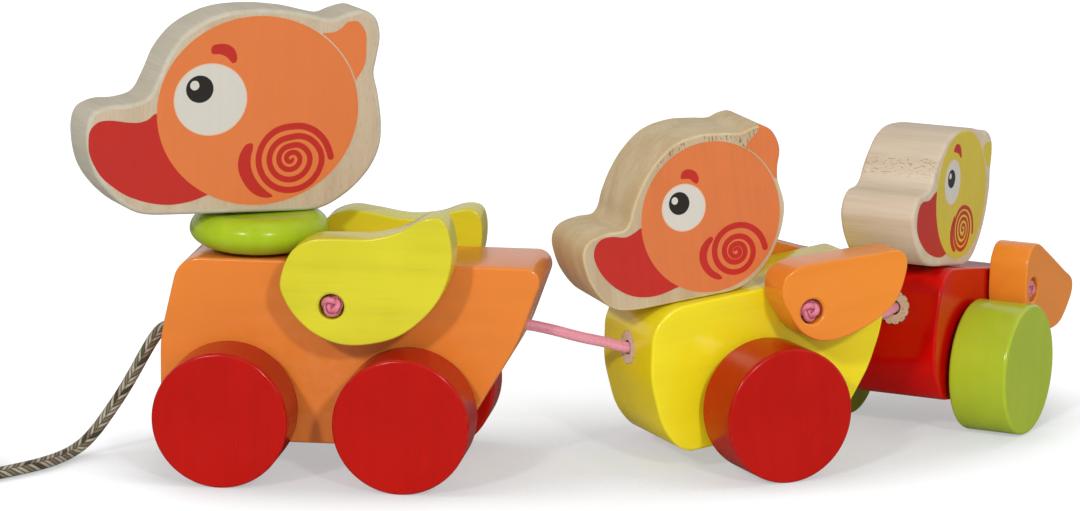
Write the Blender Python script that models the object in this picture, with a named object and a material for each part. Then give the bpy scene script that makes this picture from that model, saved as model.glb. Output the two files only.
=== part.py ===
"""A wooden pull-along duck family: a mother on four wheels and two ducklings on cords behind her.

Sizes are in millimetres and become Blender's metres where a mesh or a place is made. X runs from
the mother's beak to her tail, Y away from the side that shows her left wing, and Z up from the
floor. Each duck has its own frame, with its origin on the floor under its front axle.
"""

import math

import bmesh
import bpy
from mathutils import Matrix, Vector

MM = 0.001

# Fits and sanded edges
CLEARANCE = 0.3
EDGE_ROUNDING = 1.5
EDGE_STEPS = 2
BORE_STEPS = 16
BORE_CORNER = 1 / math.cos(math.pi / BORE_STEPS)

# Wheels and axles
WHEEL_DIAMETER = 40.0
WHEEL_WIDTH = 18.5
WHEEL_STEPS = 30
AXLE_DIAMETER = 6.0
AXLE_SEAT = 12.0
WHEELBASE = 53.0

# Mother's body
MOTHER_WIDTH = 30.0
MOTHER_WHEEL_PLAY = 1.5
MOTHER_BOTTOM = 9.5
MOTHER_TOP = 64.0
MOTHER_FRONT = 21.4
MOTHER_TAIL = 39.5
MOTHER_CORD_HEIGHT = 40.1
MOTHER_LINK_HEIGHT = 44.0
PULL_MOUTH = (-MOTHER_FRONT, 0.0, MOTHER_CORD_HEIGHT)

# First duckling's body
FIRST_WIDTH = 34.0
FIRST_WHEEL_PLAY = 2.5
FIRST_BOTTOM = 9.6
FIRST_TOP = 53.7
FIRST_FRONT = 34.0
FIRST_TAIL = 46.8
FIRST_CORD_HEIGHT = 40.0

# Second duckling's body, which has slid along its axle towards the left wheel
SECOND_WIDTH = 29.0
SECOND_LEFT_PLAY = 1.5
SECOND_RIGHT_PLAY = 8.5
SECOND_SHIFT = (SECOND_LEFT_PLAY - SECOND_RIGHT_PLAY) / 2
SECOND_BOTTOM = 9.0
SECOND_TOP = 49.3
SECOND_FRONT = 29.0
SECOND_TAIL = 42.0
SECOND_CORD_HEIGHT = 36.0

# Heads, necks and the dowels they turn on
NECK_DOWEL_DIAMETER = 8.0
NECK_DOWEL_IN_HEAD = 20.0
NECK_DOWEL_IN_BODY = 15.0
RING_HEIGHT = 11.6
RING_DIAMETER = 41.0
RING_FLAT_DIAMETER = 14.0
RING_STEPS = 36
MOTHER_NECK = 5.5
MOTHER_HEAD_WIDTH = 16.0
MOTHER_HEAD_TURN = 31.5
MOTHER_HEAD_LEAN = 2.4
FIRST_NECK = -14.0
FIRST_HEAD_WIDTH = 27.0
FIRST_HEAD_TURN = -4.0
SECOND_NECK = -10.0
SECOND_HEAD_WIDTH = 24.0

# Wings and the knotted cords that hold them
WING_GAP = 0.6
MOTHER_WING_WIDTH = 12.0
DUCKLING_WING_WIDTH = 12.5
WING_CORD_DIAMETER = 3.2
KNOT_DIAMETER = 6.9
KNOT_POCKET_DEPTH = 5.0
MOTHER_WING_PIVOT = (31.7, 53.3)
FIRST_WING_PIVOT = (13.8, 47.3)
SECOND_WING_PIVOT = (15.7, 43.6)
MOTHER_WING_TURNS = {"left": 0.0, "right": 10.0}
FIRST_WING_TURNS = {"left": 0.0, "right": 21.0}
SECOND_WING_TURNS = {"left": 17.0, "right": 17.0}

# Fluted plugs that hold the pull and link cords
PLUG_DIAMETER = 10.0
PLUG_LENGTH = 10.0
PLUG_FLUTES = 12
FLUTE_DEPTH = 0.45

# Cords
PULL_CORD_DIAMETER = 3.6
LINK_CORD_DIAMETER = 3.2
CORD_IN_PLUG = 6.5
FLOOR_GAP = 0.2
PULL_KNOT_DIAMETER = 8.4
COIL_OUTER_RADIUS = 23.0
COIL_PITCH = 4.15
COIL_TURNS = 3.0
COIL_POINTS_PER_TURN = 24
COIL_CENTRE = (-94.5, -31.0)
COIL_START = -50.0
COIL_TAIL = 26.0

# Where the ducklings stand: the gap from the cord hole ahead to their own, and how they lie
FIRST_GAP = (28.2, 10.95)
FIRST_YAW = 31.5
FIRST_PITCH = -7.0
SECOND_GAP = (10.35, 6.7)
SECOND_YAW = 70.0
SECOND_PITCH = 9.5

# The frame's origin, under the middle of the toy, measured from the mother's front axle
ORIGIN = (98.0, 52.5)

# Side outlines of the bodies, as corners (x, z, radius)
MOTHER_TAIL_WAIST = (WHEELBASE + MOTHER_TAIL - 8.3, 41.0)
MOTHER_BODY = [
    (-MOTHER_FRONT - 0.1, MOTHER_BOTTOM, 16), (-MOTHER_FRONT, 40, 40), (5.6 - MOTHER_FRONT, MOTHER_TOP, 8),
    (WHEELBASE + MOTHER_TAIL, MOTHER_TOP, 3.5), (*MOTHER_TAIL_WAIST, 60),
    (WHEELBASE + MOTHER_TAIL - 27, MOTHER_BOTTOM, 12),
]
FIRST_TAIL_WAIST = (FIRST_TAIL - 3.9, 34.5)
FIRST_BODY = [
    (8 - FIRST_FRONT, FIRST_BOTTOM, 8), (2.2 - FIRST_FRONT, 18, 20), (-FIRST_FRONT, 33, 28),
    (3 - FIRST_FRONT, FIRST_TOP, 12), (FIRST_TAIL, FIRST_TOP, 3.5), (*FIRST_TAIL_WAIST, 40),
    (FIRST_TAIL - 9.8, 22.6, 30), (FIRST_TAIL - 19.8, FIRST_BOTTOM, 9),
]
SECOND_BODY = [
    (10.5 - SECOND_FRONT, SECOND_BOTTOM, 8), (1.8 - SECOND_FRONT, 18, 16), (-SECOND_FRONT, 32, 26),
    (2.7 - SECOND_FRONT, SECOND_TOP, 10), (SECOND_TAIL, SECOND_TOP, 3.5), (SECOND_TAIL - 6, 33, 40),
    (SECOND_TAIL - 21, SECOND_BOTTOM, 9),
]

# Side outlines of the heads, from the middle of the seat on their underside
MOTHER_HEAD = [
    (-30.0, 0.0), (-40.4, 0.9), (-48.4, 6.0), (-54.4, 13.8), (-56.6, 24.0), (-55.3, 30.0),
    (-50.5, 32.5), (-44.0, 32.9), (-38.5, 34.7), (-35.4, 40.0), (-32.0, 47.6), (-26.3, 54.0),
    (-17.0, 58.6), (-6.0, 60.0), (6.0, 59.2), (14.5, 57.4), (18.2, 56.9), (22.5, 58.4),
    (27.5, 59.2), (31.6, 56.8), (33.2, 51.5), (32.4, 45.0), (31.7, 40.5), (33.2, 34.5),
    (34.6, 26.0), (34.3, 18.5), (31.0, 11.5), (24.5, 5.0), (16.5, 0.7), (8.0, 0.0),
]
FIRST_HEAD = [
    (-18.0, 0.0), (-26.5, 1.9), (-31.9, 9.0), (-34.0, 17.0), (-33.3, 21.2), (-30.4, 23.6),
    (-25.0, 24.5), (-20.6, 24.5), (-18.6, 26.5), (-17.1, 30.4), (-13.7, 36.5), (-9.0, 42.2),
    (-2.4, 46.9), (5.9, 48.4), (13.5, 47.6), (18.6, 46.8), (22.0, 47.7), (25.4, 47.7),
    (28.6, 45.3), (30.3, 40.0), (29.1, 34.5), (28.8, 31.0), (30.1, 23.0), (28.3, 15.4),
    (23.9, 7.8), (18.0, 2.4), (10.0, 0.0),
]
SECOND_HEAD = [
    (-16.0, 0.0), (-26.0, 1.3), (-33.5, 6.8), (-37.6, 13.5), (-37.0, 18.0), (-34.0, 21.3),
    (-28.8, 22.6), (-25.8, 24.8), (-24.0, 28.6), (-20.5, 33.6), (-16.5, 37.8), (-11.0, 40.6),
    (-4.0, 41.8), (5.0, 42.2), (11.0, 41.6), (15.8, 41.6), (19.4, 39.6), (21.0, 35.5),
    (20.9, 30.0), (21.5, 24.0), (19.8, 15.0), (16.5, 8.0), (11.0, 2.0), (4.0, 0.0),
]

# Side outlines of the wings, from the hole they turn on
MOTHER_WING = [
    (-15.1, 6.4), (-13.6, 1.3), (-10.3, -3.6), (-5.0, -8.1), (2.0, -10.9), (9.5, -11.0),
    (18.7, -8.6), (26.0, -3.4), (31.6, 3.6), (34.9, 13.0), (34.5, 21.6), (32.0, 26.6),
    (27.4, 26.6), (20.1, 22.7), (11.4, 20.3), (0.5, 20.0), (-6.0, 19.4), (-11.9, 15.5),
]
DUCKLING_WING = [
    (-9.0, 6.7), (-7.6, 1.4), (-4.0, -5.4), (1.0, -9.0), (7.0, -10.0), (14.9, -8.7),
    (22.5, -6.0), (27.9, -2.1), (31.4, 4.3), (32.6, 9.6), (30.3, 12.6), (23.0, 13.1),
    (13.8, 13.6), (5.0, 14.0), (-2.7, 14.0), (-7.4, 11.7),
]

# How the pull cord falls from the mother's breast to the floor: x and y from its mouth, and the
# share of the height that is left. From there it runs on the floor to its coil.
PULL_CORD_FALL = [
    (-2.9, 0.0, 0.965), (-6.1, 0.0, 0.853), (-11.4, 0.0, 0.606), (-14.9, -0.4, 0.449),
    (-18.6, -0.9, 0.301), (-22.5, -1.8, 0.156), (-25.9, -3.6, 0.057), (-28.8, -7.2, 0.008),
]
PULL_CORD_RUN = [(-30.6, -12.5), (-33.0, -18.8), (-36.2, -24.6), (-43.6, -34.5), (-50.9, -42.2)]

# The sag of the link cords, from the mouth that each one leaves
FIRST_LINK_SAG = [(6.7, 1.2, -1.4), (14.7, 4.7, -4.1), (22.2, 8.3, -6.3)]
SECOND_LINK_SAG = [(2.9, 1.5, -1.2), (5.1, 2.5, -4.2), (7.0, 3.2, -5.9), (9.1, 4.3, -5.1)]

# Paints and bare wood, as 0 to 255 screen colours
ORANGE = (235, 128, 48)
RED = (186, 32, 26)
GREEN = (158, 196, 48)
LEAF_GREEN = (168, 184, 44)
YELLOW = (230, 216, 46)
SUN_YELLOW = (238, 214, 30)
WING_ORANGE = (232, 134, 46)
BRIGHT_RED = (190, 14, 8)
BARE_WOOD = (208, 190, 160)
PINK = (226, 124, 150)
OLIVE = (120, 108, 84)


def linear(colour):
    """A screen colour as the linear values that a shader takes."""
    parts = [part / 255 for part in colour]
    return [part / 12.92 if part <= 0.04045 else ((part + 0.055) / 1.055) ** 2.4 for part in parts]


def finish(name, colour, roughness):
    material = bpy.data.materials.new(name)
    material.use_nodes = True
    shader = material.node_tree.nodes["Principled BSDF"]
    shader.inputs["Base Color"].default_value = (*linear(colour), 1.0)
    shader.inputs["Roughness"].default_value = roughness
    shader.inputs["Metallic"].default_value = 0.0
    return material


def move(x, y, z):
    return Matrix.Translation(Vector((x, y, z)) * MM)


def turn(degrees, axis):
    return Matrix.Rotation(math.radians(degrees), 4, axis)


def empty(name, parent, matrix):
    """A helper that carries the pieces of a moving part."""
    holder = bpy.data.objects.new(name, None)
    bpy.context.scene.collection.objects.link(holder)
    holder.parent = parent
    holder.matrix_basis = matrix
    return holder


def piece(name, data, material, parent, matrix):
    """One named part of the toy."""
    shown = bpy.data.objects.new(name, data)
    data.materials.append(material)
    bpy.context.scene.collection.objects.link(shown)
    shown.parent = parent
    shown.matrix_basis = matrix
    return shown


def cutter(name, data, parent, matrix):
    """A hidden shape that drills or trims a part."""
    hidden = bpy.data.objects.new(name, data)
    bpy.context.scene.collection.objects.link(hidden)
    hidden.parent = parent
    hidden.matrix_basis = matrix
    hidden.hide_render = True
    hidden.display_type = "WIRE"
    return hidden


def cut(target, tool, operation="DIFFERENCE"):
    boolean = target.modifiers.new(tool.name, "BOOLEAN")
    boolean.operation = operation
    boolean.object = tool


def curve_between(before, start, end, after, share):
    """The point at a share of the way from start to end, on a smooth curve through all four."""
    length_before = (start - before).length
    length = (end - start).length
    length_after = (after - end).length
    leave = (end - before) * (length / (length_before + length))
    arrive = (after - start) * (length / (length + length_after))
    s2 = share * share
    s3 = s2 * share
    return (
        start * (2 * s3 - 3 * s2 + 1)
        + leave * (s3 - 2 * s2 + share)
        + end * (3 * s2 - 2 * s3)
        + arrive * (s3 - s2)
    )


def smooth_outline(points, steps):
    """A closed curve through the points, planed flat where it would dip under its underside."""
    corners = [Vector(point) for point in points]
    count = len(corners)
    lowest = min(corner.y for corner in corners)
    outline = []
    for i in range(count):
        four = [corners[(i + k) % count] for k in (-1, 0, 1, 2)]
        for step in range(steps):
            point = curve_between(*four, step / steps)
            outline.append((point.x, max(point.y, lowest)))
    return outline


def rounded_outline(corners, degrees_per_step=14.0):
    """A closed polygon whose corners (x, z, radius) are arcs."""
    outline = []
    count = len(corners)
    for i in range(count):
        here = Vector(corners[i][:2])
        back = (Vector(corners[i - 1][:2]) - here).normalized()
        ahead = (Vector(corners[(i + 1) % count][:2]) - here).normalized()
        bend = math.pi - back.angle(ahead)
        radius = corners[i][2]
        centre = here + (back + ahead).normalized() * (radius / math.cos(bend / 2))
        first = here + back * (radius * math.tan(bend / 2)) - centre
        side = math.copysign(1.0, back.cross(ahead))
        steps = max(2, round(math.degrees(bend) / degrees_per_step))
        for step in range(steps + 1):
            angle = -side * bend * step / steps
            cosine, sine = math.cos(angle), math.sin(angle)
            outline.append((
                centre.x + first.x * cosine - first.y * sine,
                centre.y + first.x * sine + first.y * cosine,
            ))
    return outline


def block_mesh(name, outline, width):
    """A plank cut to an outline in X and Z, centred on Y, with its two rims rounded."""
    shape = bmesh.new()
    rim = [shape.verts.new((x * MM, -width / 2 * MM, z * MM)) for x, z in outline]
    face = shape.faces.new(rim)
    raised = bmesh.ops.extrude_face_region(shape, geom=[face])["geom"]
    moved = [part for part in raised if isinstance(part, bmesh.types.BMVert)]
    bmesh.ops.translate(shape, verts=moved, vec=(0, width * MM, 0))
    rims = [edge for edge in shape.edges if abs(edge.verts[0].co.y - edge.verts[1].co.y) < 1e-7]
    bmesh.ops.bevel(
        shape, geom=rims, offset=EDGE_ROUNDING * MM, segments=EDGE_STEPS, profile=0.5, affect="EDGES"
    )
    bmesh.ops.recalc_face_normals(shape, faces=shape.faces)
    return finished_mesh(name, shape)


def turned_mesh(name, profile, steps):
    """A shape turned on the Y axis from (radius, place along Y) pairs."""
    shape = bmesh.new()
    points = [shape.verts.new((radius * MM, along * MM, 0)) for radius, along in profile]
    edges = [shape.edges.new(pair) for pair in zip(points, points[1:])]
    if profile[0][0] > 0:
        edges.append(shape.edges.new((points[-1], points[0])))
    bmesh.ops.spin(
        shape, geom=points + edges, axis=(0, 1, 0), cent=(0, 0, 0), angle=math.tau, steps=steps,
        use_merge=True,
    )
    bmesh.ops.remove_doubles(shape, verts=shape.verts, dist=1e-6)
    bmesh.ops.recalc_face_normals(shape, faces=shape.faces)
    return finished_mesh(name, shape)


def finished_mesh(name, shape):
    mesh = bpy.data.meshes.new(name)
    shape.to_mesh(mesh)
    shape.free()
    mesh.shade_smooth()
    mesh.set_sharp_from_angle(angle=math.radians(35))
    return mesh


def rod_mesh(name, diameter, length, steps=16):
    """A plain rod along Y, centred on its middle."""
    radius = diameter / 2
    half = length / 2
    return turned_mesh(name, [(0, -half), (radius, -half), (radius, half), (0, half)], steps)


def drill(target, name, parent, matrix, diameter, length):
    """Drills a hole along the matrix's Y axis, a length long about its origin.

    The drill's flats, not its corners, keep the hole's diameter.
    """
    tool = rod_mesh(name, diameter * BORE_CORNER, length, BORE_STEPS)
    cut(target, cutter(name, tool, parent, matrix))


def wheel_mesh(name):
    """A wheel with its plain face towards -Y and a blind axle bore in its other face."""
    radius = WHEEL_DIAMETER / 2
    bore = AXLE_DIAMETER / 2 + CLEARANCE
    corner = []
    for step in range(EDGE_STEPS + 1):
        angle = math.pi / 2 * step / EDGE_STEPS
        corner.append((
            radius - EDGE_ROUNDING + EDGE_ROUNDING * math.sin(angle),
            EDGE_ROUNDING - EDGE_ROUNDING * math.cos(angle),
        ))
    inner = [(reach, WHEEL_WIDTH - depth) for reach, depth in reversed(corner)]
    profile = [
        (0, 0), *corner, *inner, (bore, WHEEL_WIDTH), (bore, WHEEL_WIDTH - AXLE_SEAT),
        (0, WHEEL_WIDTH - AXLE_SEAT),
    ]
    return turned_mesh(name, profile, WHEEL_STEPS)


def wheel_set(name, holder, wheel_gap, along, paint, wood):
    """Two wheels pressed on one axle, which turns in the body."""
    length = wheel_gap + 2 * (AXLE_SEAT - CLEARANCE)
    rod = rod_mesh(f"{name}_axle", AXLE_DIAMETER, length, 12)
    axle = piece(f"{name}_axle", rod, wood, holder, move(along, 0, WHEEL_DIAMETER / 2))
    for side, facing in (("left", 0), ("right", 180)):
        outward = move(0, -wheel_gap / 2 - WHEEL_WIDTH, 0)
        wheel_name = f"{name}_wheel_{side}"
        piece(wheel_name, wheel_mesh(wheel_name), paint, axle, turn(facing, "Z") @ outward)


def body(name, holder, corners, width, shift, paint):
    """The duck's body block, and a hidden copy of its uncut shape to trim the plugs to."""
    outline = rounded_outline(corners)
    place = move(0, shift, 0)
    block = piece(f"{name}_body", block_mesh(f"{name}_body", outline, width), paint, holder, place)
    blank = cutter(f"{name}_blank", block_mesh(f"{name}_blank", outline, width), holder, place)
    return block, blank


def drill_axle(block, name, holder, along, width):
    bore = AXLE_DIAMETER + 2 * CLEARANCE
    drill(block, f"{name}_bore", holder, move(along, 0, WHEEL_DIAMETER / 2), bore, 2 * width)


def fluted_mesh(name):
    """A dowel along X with flutes pressed along its side."""
    shape = bmesh.new()
    rim = []
    for step in range(3 * PLUG_FLUTES):
        radius = PLUG_DIAMETER / 2 - (FLUTE_DEPTH if step % 3 == 0 else 0)
        angle = math.tau * step / (3 * PLUG_FLUTES)
        rim.append(shape.verts.new((
            -PLUG_LENGTH * MM, radius * math.cos(angle) * MM, radius * math.sin(angle) * MM,
        )))
    face = shape.faces.new(rim)
    raised = bmesh.ops.extrude_face_region(shape, geom=[face])["geom"]
    moved = [part for part in raised if isinstance(part, bmesh.types.BMVert)]
    bmesh.ops.translate(shape, verts=moved, vec=(2 * PLUG_LENGTH * MM, 0, 0))
    bmesh.ops.recalc_face_normals(shape, faces=shape.faces)
    return finished_mesh(name, shape)


def plug(name, holder, block, blank, mouth, rearward, cord_diameter, wood):
    """A fluted plug let into the body at mouth, trimmed flush with it and bored for a cord.

    rearward is 1 where the plug goes in towards the tail, and -1 where it goes in from the tail.
    """
    facing = turn(0 if rearward > 0 else 180, "Z")
    place = move(*mouth) @ facing
    along = turn(90, "Z")
    hole = PLUG_DIAMETER + 2 * CLEARANCE
    drill(block, f"{name}_hole", holder, place @ along, hole, 2 * (PLUG_LENGTH + CLEARANCE))
    dowel = piece(name, fluted_mesh(name), wood, holder, place)
    cut(dowel, blank, "INTERSECT")
    drill(dowel, f"{name}_bore", holder, place @ along, cord_diameter + 4 * CLEARANCE, 4 * PLUG_LENGTH)


def wing_pair(name, holder, block, outline, width, wing_width, shift, pivot, turns, paint, cord):
    """Two wings on the knotted ends of one cord through the body."""
    outer = width / 2 + WING_GAP + wing_width
    shaft = WING_CORD_DIAMETER / 2 + CLEARANCE
    pocket = (KNOT_DIAMETER / 2 + CLEARANCE) * BORE_CORNER
    through = shaft * BORE_CORNER
    past = wing_width
    place = move(pivot[0], shift, pivot[1])
    drill(block, f"{name}_wing_cord_bore", holder, place, 2 * shaft, 2 * width)
    for side, facing in (("left", 0), ("right", 180)):
        wing_name = f"{name}_wing_{side}"
        hang = turn(turns[side], "Y")
        sideways = move(0, (-1 if side == "left" else 1) * (outer - wing_width / 2), 0)
        mesh = block_mesh(wing_name, smooth_outline(outline, 2), wing_width)
        wing = piece(wing_name, mesh, paint, holder, place @ sideways @ hang)
        profile = [
            (0, -wing_width / 2 - past), (pocket, -wing_width / 2 - past),
            (pocket, KNOT_POCKET_DEPTH - wing_width / 2), (through, KNOT_POCKET_DEPTH - wing_width / 2),
            (through, wing_width / 2 + past), (0, wing_width / 2 + past),
        ]
        tool_name = f"{wing_name}_hole"
        tool = cutter(tool_name, turned_mesh(tool_name, profile, BORE_STEPS), wing, turn(facing, "Z"))
        cut(wing, tool)
    piece(f"{name}_wing_cord", knotted_cord_mesh(f"{name}_wing_cord", outer), cord, holder, place)


def knotted_cord_mesh(name, outer):
    """A straight cord along Y with a round knot in each wing's pocket."""
    shaft = WING_CORD_DIAMETER / 2
    length = KNOT_POCKET_DEPTH - 2 * CLEARANCE
    centre = outer - KNOT_POCKET_DEPTH / 2
    meet = math.asin(2 * shaft / KNOT_DIAMETER)
    steps = 5
    knot = []
    for step in range(steps + 1):
        angle = (math.pi - meet) * step / steps
        knot.append((KNOT_DIAMETER / 2 * math.sin(angle), -centre - length / 2 * math.cos(angle)))
    far = [(radius, -along) for radius, along in reversed(knot)]
    return turned_mesh(name, [*knot, *far], 12)


def head(name, holder, block, outline, head_width, seat, turned, lean, through, paint, wood):
    """A head on a dowel that turns in the body. through is what the dowel passes on its way in."""
    tilted = seat @ turn(turned, "Z") @ turn(lean, "Y")
    mesh = block_mesh(f"{name}_head", smooth_outline(outline, 2), head_width)
    shown = piece(f"{name}_head", mesh, paint, holder, tilted)
    upright = turn(90, "X")
    bore = NECK_DOWEL_DIAMETER + 2 * CLEARANCE
    drill(shown, f"{name}_head_bore", shown, upright, bore, 2 * (NECK_DOWEL_IN_HEAD + CLEARANCE))
    sunk = through + NECK_DOWEL_IN_BODY
    drill(block, f"{name}_neck_bore", holder, tilted @ upright, bore, 2 * (sunk + CLEARANCE))
    length = NECK_DOWEL_IN_HEAD + sunk
    middle = move(0, 0, (NECK_DOWEL_IN_HEAD - sunk) / 2)
    dowel_name = f"{name}_head_dowel"
    piece(dowel_name, rod_mesh(dowel_name, NECK_DOWEL_DIAMETER, length, 16), wood, shown, middle @ upright)


def neck_ring_mesh(name, bore):
    """A turned ring with a bulging side, along Y."""
    flat = RING_FLAT_DIAMETER / 2
    bulge = RING_DIAMETER / 2 - flat
    steps = 6
    side = []
    for step in range(steps + 1):
        angle = math.pi * step / steps
        side.append((flat + bulge * math.sin(angle), -RING_HEIGHT / 2 * math.cos(angle)))
    profile = [(bore, -RING_HEIGHT / 2), *side, (bore, RING_HEIGHT / 2)]
    return turned_mesh(name, profile, RING_STEPS)


def route(points, spacing):
    """Evenly spaced points along a smooth curve through the given ones."""
    given = [Vector(point) for point in points]
    ends = [given[0] * 2 - given[1], *given, given[-1] * 2 - given[-2]]
    fine = []
    for i in range(1, len(ends) - 2):
        fine.extend(curve_between(*ends[i - 1:i + 3], step / 20) for step in range(20))
    fine.append(given[-1])
    travelled = [0.0]
    for before, after in zip(fine, fine[1:]):
        travelled.append(travelled[-1] + (after - before).length)
    count = max(2, round(travelled[-1] / spacing))
    even = []
    position = 0
    for step in range(count + 1):
        wanted = travelled[-1] * step / count
        while position < len(fine) - 2 and travelled[position + 1] < wanted:
            position += 1
        share = (wanted - travelled[position]) / (travelled[position + 1] - travelled[position])
        even.append(fine[position].lerp(fine[position + 1], share))
    return even


def tube(name, points, diameter, sides, material, parent):
    """A cord along the points, with closed ends."""
    curve = bpy.data.curves.new(name, "CURVE")
    curve.dimensions = "3D"
    curve.bevel_depth = diameter / 2 * MM
    curve.bevel_resolution = sides
    curve.use_fill_caps = True
    line = curve.splines.new("POLY")
    line.points.add(len(points) - 1)
    for point, place in zip(line.points, points):
        point.co = (*(place * MM), 1.0)
    return piece(name, curve, material, parent, Matrix.Identity(4))


def coil_points():
    """The unseen length of the pull cord: a flat spiral in, a climb of one layer, and out again.

    It runs clockwise seen from above. Its first stretch is straight, and it ends in a tail that
    comes down beside the coil.
    """
    start = math.radians(COIL_START)
    ahead = Vector((math.sin(start), -math.cos(start), 0))
    centre = Vector((*COIL_CENTRE, PULL_CORD_DIAMETER / 2 + FLOOR_GAP))
    points = []
    count = round(COIL_TURNS * COIL_POINTS_PER_TURN)
    for step in range(count + 1):
        turns = COIL_TURNS * step / count
        radius = COIL_OUTER_RADIUS - COIL_PITCH * min(turns, COIL_TURNS - turns)
        climb = min(max((turns - COIL_TURNS / 2) * 2 + 0.5, 0.0), 1.0)
        height = COIL_PITCH * climb * climb * (3 - 2 * climb)
        angle = start - math.tau * turns
        points.append(centre + Vector((radius * math.cos(angle), radius * math.sin(angle), height)))
    points.insert(0, points[0] - ahead * PULL_CORD_DIAMETER)
    drop = points[-1].z - PULL_KNOT_DIAMETER / 2 - FLOOR_GAP
    last = points[-1]
    for share in (0.2, 0.4, 0.55, 0.7, 0.85, 1.0):
        late = min(max((share - 0.4) / 0.45, 0.0), 1.0)
        lower = Vector((0, 0, drop * late * late * (3 - 2 * late)))
        points.append(last + ahead * (COIL_TAIL * share) - lower)
    return points


def least_gap(points, diameter):
    """The narrowest space between stretches of one cord that aren't next to each other."""
    travelled = [0.0]
    for before, after in zip(points, points[1:]):
        travelled.append(travelled[-1] + (after - before).length)
    smallest = math.inf
    for i, here in enumerate(points):
        for j in range(i + 1, len(points) - 1):
            if travelled[j] - travelled[i] < 4 * diameter:
                continue
            stretch = points[j + 1] - points[j]
            share = min(max((here - points[j]).dot(stretch) / stretch.length_squared, 0.0), 1.0)
            smallest = min(smallest, (here - points[j] - stretch * share).length - diameter)
    return smallest


def knot_mesh(name):
    """The round knot at the free end of the pull cord, along Y."""
    radius = PULL_KNOT_DIAMETER / 2
    steps = 8
    profile = []
    for step in range(steps + 1):
        angle = math.pi * step / steps
        profile.append((radius * math.sin(angle), -radius * math.cos(angle)))
    profile[0] = (0, -radius)
    profile[-1] = (0, radius)
    return turned_mesh(name, profile, 12)


def duckling_frame(gap_end, mouth, yaw, pitch):
    """A duckling's frame: its cord mouth over gap_end, turned and rocked about its own axle."""
    axle = move(0, 0, WHEEL_DIAMETER / 2)
    turned = turn(yaw, "Z") @ axle @ turn(pitch, "Y") @ axle.inverted()
    reach = turned @ (Vector(mouth) * MM)
    return Matrix.Translation((gap_end.x - reach.x, gap_end.y - reach.y, 0)) @ turned


def tail_mouth(body_outline, waist, height):
    """Where a cord at a height leaves the slope between a body's tail and its waist."""
    top_x, top_z = max(body_outline)[:2]
    share = (top_z - height) / (top_z - waist[1])
    return (top_x + (waist[0] - top_x) * share, 0, height)


def make_mother(toy, paints):
    """The mother: a body on two axles, with a leaning head over a neck ring."""
    holder = empty("mother", toy, Matrix.Identity(4))
    block, blank = body("mother", holder, MOTHER_BODY, MOTHER_WIDTH, 0, paints["orange"])
    for name, along in (("mother_front", 0), ("mother_rear", WHEELBASE)):
        drill_axle(block, name, holder, along, MOTHER_WIDTH)
        wheel_set(name, holder, MOTHER_WIDTH + 2 * MOTHER_WHEEL_PLAY, along, paints["red"], paints["wood"])
    plug("mother_front_plug", holder, block, blank, PULL_MOUTH, 1, PULL_CORD_DIAMETER, paints["wood"])
    rear_mouth = tail_mouth(MOTHER_BODY, MOTHER_TAIL_WAIST, MOTHER_LINK_HEIGHT)
    plug("mother_rear_plug", holder, block, blank, rear_mouth, -1, LINK_CORD_DIAMETER, paints["wood"])
    wing_pair(
        "mother", holder, block, MOTHER_WING, MOTHER_WIDTH, MOTHER_WING_WIDTH, 0, MOTHER_WING_PIVOT,
        MOTHER_WING_TURNS, paints["yellow"], paints["pink"],
    )
    lean = math.radians(MOTHER_HEAD_LEAN)
    seat_height = MOTHER_TOP + 2 * CLEARANCE + RING_HEIGHT + RING_FLAT_DIAMETER / 2 * math.sin(lean)
    head(
        "mother", holder, block, MOTHER_HEAD, MOTHER_HEAD_WIDTH, move(MOTHER_NECK, 0, seat_height),
        MOTHER_HEAD_TURN, MOTHER_HEAD_LEAN, seat_height - MOTHER_TOP, paints["wood"], paints["wood"],
    )
    ring_place = move(MOTHER_NECK, 0, MOTHER_TOP + CLEARANCE + RING_HEIGHT / 2) @ turn(90, "X")
    bore = NECK_DOWEL_DIAMETER / 2 + CLEARANCE + RING_HEIGHT * math.sin(lean)
    piece("mother_neck_ring", neck_ring_mesh("mother_neck_ring", bore), paints["green"], holder, ring_place)


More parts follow.
